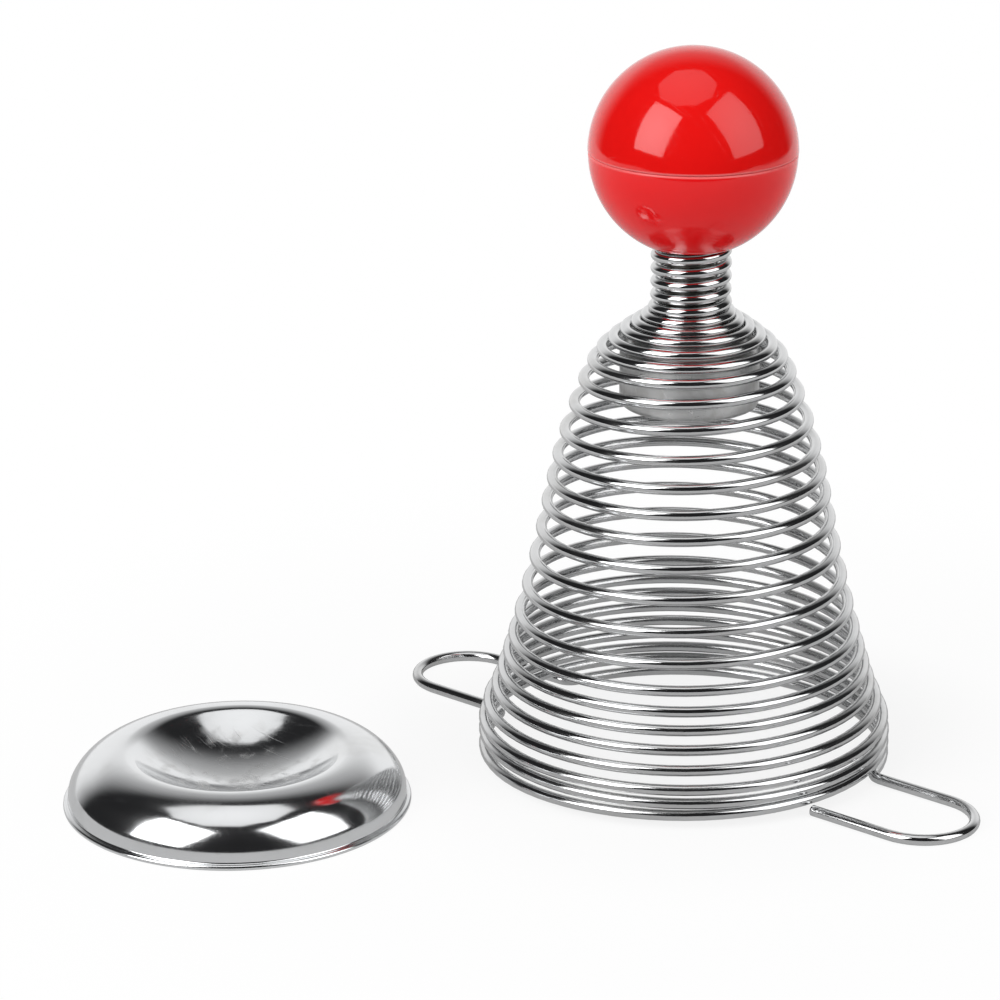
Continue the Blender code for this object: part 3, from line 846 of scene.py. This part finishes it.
def wire_route(bell):
    """Middle line of the whole wire, wound right-handed, and how far each of its points follows the knob."""
    loop, corner_angle = finger_loop(bell)
    rest = rest_height(bell)
    step = 360 / bell.points_per_turn
    climb, end = coil_climb(bell, corner_angle)

    def ring(first, last, heights=None):
        turned = np.linspace(first, last, max(2, round(abs(last - first) / step)) + 1)
        heights = [rest] * len(turned) if heights is None else [heights(angle) for angle in turned]
        radii = np.array([bell_radius(bell, height) for height in heights])
        angles = np.radians(turned)
        return turned, np.stack([radii * np.cos(angles), radii * np.sin(angles), np.array(heights)], 1)

    right = np.array([(x, y, rest) for x, y in loop])
    left = right * (-1.0, -1.0, 1.0)
    cut_leg = right[LOOP_BEND_STEPS:].copy()
    cut_leg[0, 0] -= TAIL_REACH
    turned, coil = ring(180 + corner_angle, end, climb)
    flat = np.concatenate([cut_leg, ring(corner_angle, 180 - corner_angle)[1][1:-1], left])
    follow = pull_shares(bell, turned, coil[:, 2], np.hypot(coil[:, 0], coil[:, 1]))
    points = np.concatenate([flat, coil[1:]])
    follow = np.concatenate([np.zeros(len(flat)), follow[1:]])
    lifted_share = 1 - np.clip((points[:, 2] - rest) / LIFT_FADE, 0.0, 1.0)
    points[:, 2] += (bell.wire_diameter / 2 - rest) * lifted_share
    return points + (AXIS_X, AXIS_Y, 0.0), follow


def chamfered_ends(points, follow):
    """Put two more points near both ends of the route, where the cut wire is chamfered."""
    for _ in range(2):
        towards = points[1] - points[0]
        near = points[0] + towards * (CHAMFER_LENGTH / np.linalg.norm(towards))
        points = np.concatenate([points[:1], [near], points[1:]])[::-1]
        follow = np.concatenate([follow[:1], follow[:1], follow[1:]])[::-1]
    thickness = np.ones(len(points))
    thickness[[0, -1]] = CHAMFER_share
    return points, follow, thickness


def build_wire_tree():
    """Geometry nodes that draw a round wire along a route and lay out its surface."""
    tree = bpy.data.node_groups.new("Drawn Wire", "GeometryNodeTree")
    tree.is_modifier = True
    for label, kind in (
        ("Geometry", "Geometry"), ("Wire Diameter", "Float"), ("Wire Sides", "Int"), ("Material", "Material"),
    ):
        tree.interface.new_socket(label, in_out="INPUT", socket_type="NodeSocket" + kind)
    tree.interface.new_socket("Geometry", in_out="OUTPUT", socket_type="NodeSocketGeometry")
    given = add_node(tree, "NodeGroupInput").outputs
    route = result(tree, "GeometryNodeMeshToCurve", {"Mesh": given["Geometry"]})
    route = result(tree, "GeometryNodeSetCurveNormal", {"Curve": route}, mode="Z_UP")
    radius = maths(tree, "DIVIDE", given["Wire Diameter"], 2.0)
    inputs = {"Resolution": given["Wire Sides"], "Radius": radius}
    circle = result(tree, "GeometryNodeCurvePrimitiveCircle", inputs)
    angle = times(tree, result(tree, "GeometryNodeSplineParameter"), math.tau)
    lay = combined(tree, maths(tree, "COSINE", angle), maths(tree, "SINE", angle), 0.0)
    inputs = {"Geometry": circle, "Name": "wire_round", "Value": lay}
    circle = result(tree, "GeometryNodeStoreNamedAttribute", inputs, data_type="FLOAT_VECTOR", domain="POINT")
    thickness = result(tree, "GeometryNodeInputNamedAttribute", {"Name": "wire_thickness"})
    inputs = {"Curve": route, "Profile Curve": circle, "Scale": thickness, "Fill Caps": True}
    wire = result(tree, "GeometryNodeCurveToMesh", inputs)
    wire = result(tree, "GeometryNodeRealizeInstances", {"Geometry": wire})
    wire = result(tree, "GeometryNodeSetMaterial", {"Geometry": wire, "Material": given["Material"]})
    add_node(tree, "NodeGroupOutput", {"Geometry": wire})
    return tree


def drawn_wire(bell, material, points, attributes):
    """Run the wire's geometry nodes along a route and give back a plain mesh."""
    route = bpy.data.meshes.new("wire_route")
    route.from_pydata(points.tolist(), [(i, i + 1) for i in range(len(points) - 1)], [])
    for name, values in attributes.items():
        route.attributes.new(name, "FLOAT", "POINT").data.foreach_set("value", values.astype(np.float32))
    host = new_object("wire_route", route)
    tree = build_wire_tree()
    drawing = host.modifiers.new("drawn_wire", "NODES")
    drawing.node_group = tree
    given = {"Wire Diameter": bell.wire_diameter, "Wire Sides": bell.wire_sides, "Material": material}
    for item in tree.interface.items_tree:
        if item.in_out == "INPUT" and item.name in given:
            drawing[item.identifier] = given[item.name]
    depsgraph = bpy.context.evaluated_depsgraph_get()
    mesh = bpy.data.meshes.new_from_object(
        host.evaluated_get(depsgraph), preserve_all_data_layers=True, depsgraph=depsgraph,
    )
    bpy.data.objects.remove(host, do_unlink=True)
    return mesh


def make_bell(bell):
    """The bell, its neck and both finger loops, all one unbroken wire."""
    points, follow, thickness = chamfered_ends(*wire_route(bell))
    lengths = np.linalg.norm(np.diff(points, axis=0), axis=1)
    along = np.concatenate(([0.0], np.cumsum(lengths)))
    attributes = {"wire_along": along, "wire_follow": follow, "wire_thickness": thickness}
    material = wire_material(bell)
    mesh = drawn_wire(bell, material, points, attributes)
    wire = link_piece("bell_wire", mesh, material, 50.0)
    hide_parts("bell_spring")
    axis = Vector((AXIS_X, AXIS_Y, 0.0))
    start = axis + Vector((0.0, 0.0, bell.wire_diameter))
    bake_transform(wire, "bell", "head", start=start, end=axis + Vector((0.0, 0.0, RIDE_HEIGHT)))
    shares = np.zeros(len(mesh.vertices), np.float32)
    mesh.attributes["wire_follow"].data.foreach_get("value", shares)
    mesh.attributes["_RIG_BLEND"].data.foreach_set("value", shares)


# The pull knob


def lip_round(radius, lip, half_seam):
    """How far out the middle of a lip's rounding is in a ball, and where the ball meets it, in degrees."""
    reach = radius - lip
    drop = half_seam + lip
    return math.sqrt(reach ** 2 - drop ** 2), math.degrees(math.asin(drop / reach))


def make_knob(knob, bell):
    """Both halves of the hollow ball, the lower one with its socket for the neck."""
    middle = BALL_HIGH.z - knob.radius
    radius = knob.radius
    inner = radius - SHELL_WALL
    half_seam = knob.seam / 2
    lip = knob.lip

    centre_x, lip_angle = lip_round(radius, lip, half_seam)
    rebate = inner + TONGUE_WALL + SEAT_GAP
    rebate_top = half_seam + TONGUE_HEIGHT + SEAT_GAP
    low_inner = math.degrees(math.asin(rebate_top / inner))
    upper = arc((0.0, 0.0), radius, 90, lip_angle, 48)
    upper += arc((centre_x, half_seam + lip), lip, lip_angle, -90, 8)[1:]
    upper += [(rebate, half_seam), (rebate, rebate_top)]
    upper += arc((0.0, 0.0), inner, low_inner, 90, 24)

    outer = radius - knob.overhang
    centre_x, lip_angle = lip_round(outer, lip, half_seam)
    tongue = inner + TONGUE_WALL
    socket = bell.neck_radius + bell.wire_diameter / 2 + SEAT_GAP
    ceiling = socket_ceiling(bell) - middle
    hub = socket + HUB_WALL
    mouth = MOUTH_ROUNDING
    mouth_depth = math.sqrt((outer - mouth) ** 2 - (socket + mouth) ** 2)
    mouth_angle = math.degrees(math.atan2(-mouth_depth, socket + mouth))
    hub_foot = -math.degrees(math.acos(hub / inner))
    lower = [(tongue, -half_seam)]
    lower += arc((centre_x, -half_seam - lip), lip, 90, -lip_angle, 8)
    lower += arc((0.0, 0.0), outer, -lip_angle, mouth_angle, 44)[1:]
    lower += arc((socket + mouth, -mouth_depth), mouth, mouth_angle, -180, 8)[1:]
    lower += [(socket, ceiling - HUB_CEILING), (socket, ceiling), (BOLT_HOLE_RADIUS, ceiling)]
    lower += [(BOLT_HOLE_RADIUS, ceiling + HUB_CEILING), (hub, ceiling + HUB_CEILING)]
    lower += arc((0.0, 0.0), inner, hub_foot, 0, 20)
    lower += [(inner, TONGUE_HEIGHT - half_seam), (tongue, TONGUE_HEIGHT - half_seam)]

    # The lower half takes its lighter red, painted light for its less lit underside
    for name, node, outline, colour, ior in (
        ("knob_upper_shell", "ball_upper_half", upper, knob.upper_colour, UPPER_IOR),
        ("knob_lower_shell", "ball_lower_half", lower, knob.lower_colour_painted_lighter, LOWER_IOR),
    ):
        placed = [(reach, middle + height) for reach, height in outline]
        material = plastic_material(name + "_red", knob, colour, ior, middle)
        shell = link_piece(name, turned_mesh(name, placed, KNOB_SIDES, AXIS_X, AXIS_Y), material, 40.0)
        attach(shell, "head")
        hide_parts(node)


# The striker and what holds it


def dome_outline(bell):
    """The inside of the bell's shoulder, less the clearance, as radius and height from the neck down."""
    offset = bell.wire_diameter / 2 + DOME_CLEARANCE
    shrink = math.cos(math.pi / COIL_POINTS)
    points = []
    for height in np.linspace(bell.height, DOME_FOOT_share * bell.height, DOME_POINTS):
        slope = bell_slope(bell, height)
        length = math.hypot(1.0, slope)
        radius = bell_radius(bell, height) * shrink - offset / length
        points.append((radius, height + offset * slope / length))
    return points


def make_striker(striker, bell):
    """The turned steel striker, domed to the shoulder of the bell, with a hollow face."""
    top = STRIKER_HIGH.z
    face = STRIKER_LOW.z
    radius = striker.radius
    dome = dome_outline(bell)
    radii, heights = zip(*dome)
    side_height = float(np.interp(radius, radii, heights))
    hole_floor = top - BOLT_GRIP - SEAT_GAP
    face_radius = radius - 2 * STRIKER_EDGE
    bowl = (face_radius ** 2 + STRIKER_HOLLOW ** 2) / (2 * STRIKER_HOLLOW)
    rim_angle = math.degrees(math.asin(face_radius / bowl))
    outline = rounded([
        (0.0, hole_floor, 0), (BOLT_HOLE_RADIUS, hole_floor, 0), (BOLT_HOLE_RADIUS, top, BORE_EDGE),
        (STRIKER_TOP_RADIUS, top, 0),
    ])
    outline += [point for point in dome if STRIKER_TOP_RADIUS < point[0] < radius]
    outline += rounded([
        (radius, side_height, 0), (radius, face + 2 * STRIKER_EDGE, 0), (radius, face, STRIKER_EDGE),
        (face_radius, face, 0),
    ], steps=8)
    outline += arc((0.0, face + STRIKER_HOLLOW - bowl), bowl, 90 - rim_angle, 90, 20)[1:]
    mesh = turned_mesh("striker_block", outline, STRIKER_SIDES, AXIS_X, AXIS_Y)
    material = turned_material("striker_steel_turned", striker.colour, striker.roughness, STRIKER_RINGS)
    block = link_piece("striker_block", mesh, material, 32.0)
    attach(block, "head")
    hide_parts("striker")


def make_bolt():
    """The hexagon bolt, with a rolled thread, a chamfered tip and a chamfered head."""
    angles = np.arange(BOLT_SIDES) * (math.tau / BOLT_SIDES)
    head_low = BOLT_HIGH.z - BOLT_HEAD_HEIGHT
    thread_top = BOLT_LOW.z + THREAD_LENGTH
    outline = [(0.0, BOLT_LOW.z), (BOLT_RADIUS - THREAD_DEPTH, BOLT_LOW.z)]
    # Straight flanks between a flat root and a flat crest, running out below the head
    for height in np.arange(BOLT_LOW.z + THREAD_DEPTH, thread_top, THREAD_PITCH / THREAD_STEPS):
        phase = (height / THREAD_PITCH - angles / math.tau) % 1.0
        cut = np.clip(1.2 - np.abs(2 * phase - 1) * 1.4, 0.0, 1.0)
        depth = min(1.0, (thread_top - height) / THREAD_PITCH)
        outline.append((BOLT_RADIUS - THREAD_DEPTH * depth * cut, height))
    outline.append((BOLT_RADIUS, head_low))
    flats = BOLT_HEAD_FLATS / 2
    hexagon = flats / np.cos(angles % math.radians(60) - math.radians(30))
    outline += [(np.minimum(hexagon, flats + spare), head_low + height) for height, spare in BOLT_HEAD_CORNERS]
    outline.append((0.0, BOLT_HIGH.z))
    return turned_mesh("draw_bolt_threaded", outline, BOLT_SIDES, AXIS_X, AXIS_Y)


def make_fixings(striker):
    """The bolt, its washer and the spacer sleeve, all inside the knob and the neck."""
    pieces = [("draw_bolt_threaded", "draw_bolt", make_bolt())]
    for name, node, low, high in (
        ("washer_stamped", "bolt_washer", WASHER_LOW, WASHER_HIGH),
        ("sleeve_cut", "spacer_sleeve", SLEEVE_LOW, SLEEVE_HIGH),
    ):
        outer = (high.x - low.x) / 2
        corners = ((outer, high.z), (outer, low.z), (BOLT_HOLE_RADIUS, low.z), (BOLT_HOLE_RADIUS, high.z))
        outline = rounded([(*corner, FIXING_EDGE) for corner in corners])
        pieces.append((name, node, turned_mesh(name, outline, FIXING_SIDES, AXIS_X, AXIS_Y)))
    material = turned_material("bolt_steel_plated", striker.fixing_colour, FIXING_ROUGHNESS, FIXING_RINGS)
    for name, node, mesh in pieces:
        piece = link_piece(name, mesh, material, 35.0)
        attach(piece, "head")
        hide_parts(node)


# The dish


def make_dish(dish):
    """The dish: a lip, a rounded side, a crest and a round hollow, pressed from one sheet."""
    sheet = dish.sheet
    wall = dish.radius - dish.lip
    lip_x = dish.radius - sheet / 2
    fillet_z = sheet + LIP_FILLET
    bowl_z = BOWL_FLOOR_HEIGHT + BOWL_RADIUS
    bend_z = dish.height - CREST_BEND
    span = BOWL_RADIUS + CREST_BEND
    bend_x = math.sqrt(span ** 2 - (bowl_z - bend_z) ** 2)
    bowl_angle = math.degrees(math.asin(bend_x / span))
    fillet_x = wall + LIP_FILLET
    side_x = wall - dish.side_bend
    shoulder_bend = dish.side_bend + (side_x - bend_x) / math.cos(math.radians(SIDE_ANGLE))
    shoulder = (bend_x, dish.height - shoulder_bend)
    side = (side_x, shoulder[1] + (shoulder_bend - dish.side_bend) * math.sin(math.radians(SIDE_ANGLE)))
    lower = arc((0.0, bowl_z), BOWL_RADIUS + sheet, 270, 270 + bowl_angle, 24)
    lower += arc((bend_x, bend_z), CREST_BEND - sheet, 90 + bowl_angle, 90, 8)[1:]
    lower += arc(shoulder, shoulder_bend - sheet, 90, SIDE_ANGLE, 14)[1:]
    lower += arc(side, dish.side_bend - sheet, SIDE_ANGLE, 0, 8)[1:]
    lower += arc((fillet_x, fillet_z), LIP_FILLET + sheet, 180, 270, 8)
    rim = arc((lip_x, sheet / 2), sheet / 2, -90, 90, 10)
    upper = arc((fillet_x, fillet_z), LIP_FILLET, 270, 180, 6)
    upper += arc(side, dish.side_bend, 0, SIDE_ANGLE, 12)
    upper += arc(shoulder, shoulder_bend, SIDE_ANGLE, 90, 20)[1:]
    upper += arc((bend_x, bend_z), CREST_BEND, 90, 90 + bowl_angle, 12)[1:]
    upper += arc((0.0, bowl_z), BOWL_RADIUS, 270 + bowl_angle, 270, 24)[1:]
    mesh = turned_mesh("dish_pressed", lower + rim + upper, DISH_SIDES, DISH_X, DISH_Y)
    pressed = link_piece("dish_pressed", mesh, dish_material(dish), 45.0)
    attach(pressed, "dish")
    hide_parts("nut_dish")


# The studio


def make_camera(stage):
    """The camera, at the photograph's place and angle."""
    data = bpy.data.cameras.new("studio_camera")
    data.sensor_width = 36.0
    data.lens = stage.lens
    data.clip_start = 0.01
    camera = new_object("studio_camera", data)
    camera.location = stage.camera_place
    camera.rotation_euler = (math.radians(90) - stage.camera_pitch, 0.0, stage.camera_heading)
    bpy.context.scene.camera = camera


def camera_axes(stage):
    """The directions over the table to the camera's right, and away from the camera."""
    right = Vector((math.cos(stage.camera_heading), math.sin(stage.camera_heading), 0.0))
    return right, Vector((-right.y, right.x, 0.0))


def make_lamp(stage, name, direction, width, height, radiance, turn, sides):
    """A softbox that faces the knob, brighter in its middle, with an even number of sides."""
    right, back = camera_axes(stage)
    way = (right * direction[0] - back * direction[1] + Vector((0.0, 0.0, direction[2]))).normalized()
    aim = Vector((AXIS_X, AXIS_Y, BALL_HIGH.z * LAMP_AIM_share))
    data = bpy.data.lights.new(name, "AREA")
    data.shape = "RECTANGLE"
    data.size = width * LAMP_DISTANCE
    data.size_y = height * LAMP_DISTANCE
    data.energy = math.pi * data.size * data.size_y * radiance * stage.light_level
    lamp = new_object(name, data)
    lamp.location = aim + way * LAMP_DISTANCE
    facing = way.to_track_quat("Z", "Y") @ Quaternion((0.0, 0.0, 1.0), math.radians(turn))
    lamp.rotation_euler = facing.to_euler()
    data.use_nodes = True
    tree = data.node_tree
    emission = next(node for node in tree.nodes if node.type == "EMISSION")
    place = add_node(tree, "ShaderNodeNewGeometry").outputs["Parametric"]
    place = vector_maths(tree, "MULTIPLY", vector_maths(tree, "SUBTRACT", place, (0.5, 0.5, 0.0)), (2.0, 2.0, 0.0))
    strength = ranged(tree, vector_maths(tree, "LENGTH", place), *SOFTBOX_FALL)
    if sides > 4:
        edge = math.cos(math.pi / sides)
        for i in range(sides // 2):
            angle = math.tau * (i + 0.5) / sides
            off = vector_maths(tree, "DOT_PRODUCT", place, (math.cos(angle), math.sin(angle), 0.0))
            strength = times(tree, strength, maths(tree, "LESS_THAN", maths(tree, "ABSOLUTE", off), edge))
    tree.links.new(strength, emission.inputs["Strength"])


def seen_share(tree, reflected):
    """How much of the white a ray sees: all for the camera, the given share for metal and glass."""
    rays = add_node(tree, "ShaderNodeLightPath").outputs
    mirrored = maths(tree, "MAXIMUM", rays["Is Glossy Ray"], rays["Is Transmission Ray"])
    return maths(tree, "MAXIMUM", rays["Is Camera Ray"], times(tree, mirrored, reflected))


def make_world(stage):
    """A dim studio, with the white backdrop behind the object where cameras, metal and glass see it."""
    world = bpy.data.worlds.new("studio")
    bpy.context.scene.world = world
    world.use_nodes = True
    tree = world.node_tree
    tree.nodes.clear()
    way = add_node(tree, "ShaderNodeTexCoord").outputs["Generated"]
    behind = vector_maths(tree, "DOT_PRODUCT", way, camera_axes(stage)[1])
    backdrop = times(tree, ranged(tree, behind, *BACKDROP_SIDES), ranged(tree, split(tree, way)["Z"], *BACKDROP_RISE))
    dim = result(tree, "ShaderNodeBackground", {"Color": DIM, "Strength": 1.0})
    white = result(tree, "ShaderNodeBackground", {"Color": WHITE, "Strength": 1.0})
    both = result(tree, "ShaderNodeMixShader", {0: seen_share(tree, backdrop), 1: dim, 2: white})
    add_node(tree, "ShaderNodeOutputWorld", {"Surface": both})


def make_floor(stage):
    """A plain pale table top that goes over into the white backdrop a little way off the object."""
    right, back = camera_axes(stage)
    mesh = bpy.data.meshes.new("studio_floor")
    corners = [Vector((AXIS_X, AXIS_Y, 0.0)) + right * x + back * y for x, y in FLOOR_CORNERS]
    mesh.from_pydata(corners, [], [(0, 1, 2, 3)])
    floor = new_object("studio_floor", mesh)
    material = bpy.data.materials.new("studio_floor_pale")
    material.use_nodes = True
    tree = material.node_tree
    tree.nodes.clear()
    place = add_node(tree, "ShaderNodeTexCoord").outputs["Object"]
    away = vector_maths(tree, "LENGTH", about(tree, place, AXIS_X, AXIS_Y))
    seen = seen_share(tree, ranged(tree, away, *FLOOR_MIRRORED))
    whiteness = maths(tree, "ADD", ranged(tree, away, *FLOOR_NEAR), ranged(tree, away, *FLOOR_FAR))
    share = times(tree, seen, whiteness)
    glossy = add_node(tree, "ShaderNodeLightPath").outputs["Is Glossy Ray"]
    dimmed = tinted(stage.floor_colour, GLOSSY_FLOOR_share)
    colour = mixed_colour(tree, glossy, stage.floor_colour, dimmed)
    pale = result(tree, "ShaderNodeBsdfDiffuse", {"Color": colour})
    white = result(tree, "ShaderNodeEmission", {"Color": WHITE, "Strength": 1.0})
    both = result(tree, "ShaderNodeMixShader", {0: share, 1: pale, 2: white})
    add_node(tree, "ShaderNodeOutputMaterial", {"Surface": both})
    mesh.materials.append(material)


def make_stage(stage):
    """Camera, floor, world and three softboxes."""
    make_camera(stage)
    for lamp in LAMPS:
        make_lamp(stage, *lamp)
    make_world(stage)
    make_floor(stage)
    bpy.context.scene.view_settings.view_transform = "Standard"


# Operators and panel


class NUTCRACKER_OT_build_finishes(bpy.types.Operator):
    """Build the node groups that the finishes share"""

    bl_idname = "nutcracker.build_finishes"
    bl_label = "Build the Finishes"

    def execute(self, context):
        for build in (build_line_group, build_ring_group, build_scratch_group, build_smudge_group, build_skin_group):
            build()
        return {"FINISHED"}


class NUTCRACKER_OT_wind_bell(bpy.types.Operator):
    """Wind the bell, its neck and both finger loops from one wire"""

    bl_idname = "nutcracker.wind_bell"
    bl_label = "Wind the Bell"

    def execute(self, context):
        make_bell(context.scene.nutcracker.bell)
        return {"FINISHED"}


class NUTCRACKER_OT_mould_knob(bpy.types.Operator):
    """Mould both halves of the pull knob"""

    bl_idname = "nutcracker.mould_knob"
    bl_label = "Mould the Knob"

    def execute(self, context):
        make_knob(context.scene.nutcracker.knob, context.scene.nutcracker.bell)
        return {"FINISHED"}


class NUTCRACKER_OT_turn_striker(bpy.types.Operator):
    """Turn the striker"""

    bl_idname = "nutcracker.turn_striker"
    bl_label = "Turn the Striker"

    def execute(self, context):
        make_striker(context.scene.nutcracker.striker, context.scene.nutcracker.bell)
        return {"FINISHED"}


class NUTCRACKER_OT_fit_fixings(bpy.types.Operator):
    """Fit the bolt, its washer and the spacer sleeve"""

    bl_idname = "nutcracker.fit_fixings"
    bl_label = "Fit the Bolt, Washer and Sleeve"

    def execute(self, context):
        make_fixings(context.scene.nutcracker.striker)
        return {"FINISHED"}


class NUTCRACKER_OT_press_dish(bpy.types.Operator):
    """Press the dish"""

    bl_idname = "nutcracker.press_dish"
    bl_label = "Press the Dish"

    def execute(self, context):
        make_dish(context.scene.nutcracker.dish)
        return {"FINISHED"}


class NUTCRACKER_OT_set_stage(bpy.types.Operator):
    """Set the camera, the floor and the lights"""

    bl_idname = "nutcracker.set_stage"
    bl_label = "Set the Stage"

    def execute(self, context):
        make_stage(context.scene.nutcracker.stage)
        return {"FINISHED"}


SETTINGS = (BellSettings, KnobSettings, StrikerSettings, DishSettings, StageSettings, NutcrackerSettings)
OPERATORS = (
    NUTCRACKER_OT_build_finishes, NUTCRACKER_OT_wind_bell, NUTCRACKER_OT_mould_knob, NUTCRACKER_OT_turn_striker,
    NUTCRACKER_OT_fit_fixings, NUTCRACKER_OT_press_dish, NUTCRACKER_OT_set_stage,
)


class NUTCRACKER_PT_panel(bpy.types.Panel):
    """Settings and steps of the spring nutcracker"""

    bl_idname = "NUTCRACKER_PT_panel"
    bl_label = "Spring Nutcracker"
    bl_space_type = "VIEW_3D"
    bl_region_type = "UI"
    bl_category = "Nutcracker"

    def draw(self, context):
        for group in ("bell", "knob", "striker", "dish", "stage"):
            box = self.layout.box()
            box.label(text=group.title())
            settings = getattr(context.scene.nutcracker, group)
            for name in settings.bl_rna.properties.keys():
                if name not in ("rna_type", "name"):
                    box.prop(settings, name)
        for operator in OPERATORS:
            self.layout.operator(operator.bl_idname)


def register():
    """Register the settings, the operators and the panel."""
    for kind in SETTINGS + OPERATORS + (NUTCRACKER_PT_panel,):
        bpy.utils.register_class(kind)
    bpy.types.Scene.nutcracker = PointerProperty(type=NutcrackerSettings)


def unregister():
    """Take everything that register adds away again."""
    del bpy.types.Scene.nutcracker
    for kind in reversed(SETTINGS + OPERATORS + (NUTCRACKER_PT_panel,)):
        bpy.utils.unregister_class(kind)


def main():
    """Register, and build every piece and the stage."""
    register()
    steps = bpy.ops.nutcracker
    steps.build_finishes()
    steps.wind_bell()
    steps.mould_knob()
    steps.turn_striker()
    steps.fit_fixings()
    steps.press_dish()
    steps.set_stage()


if __name__ == "__main__":
    main()
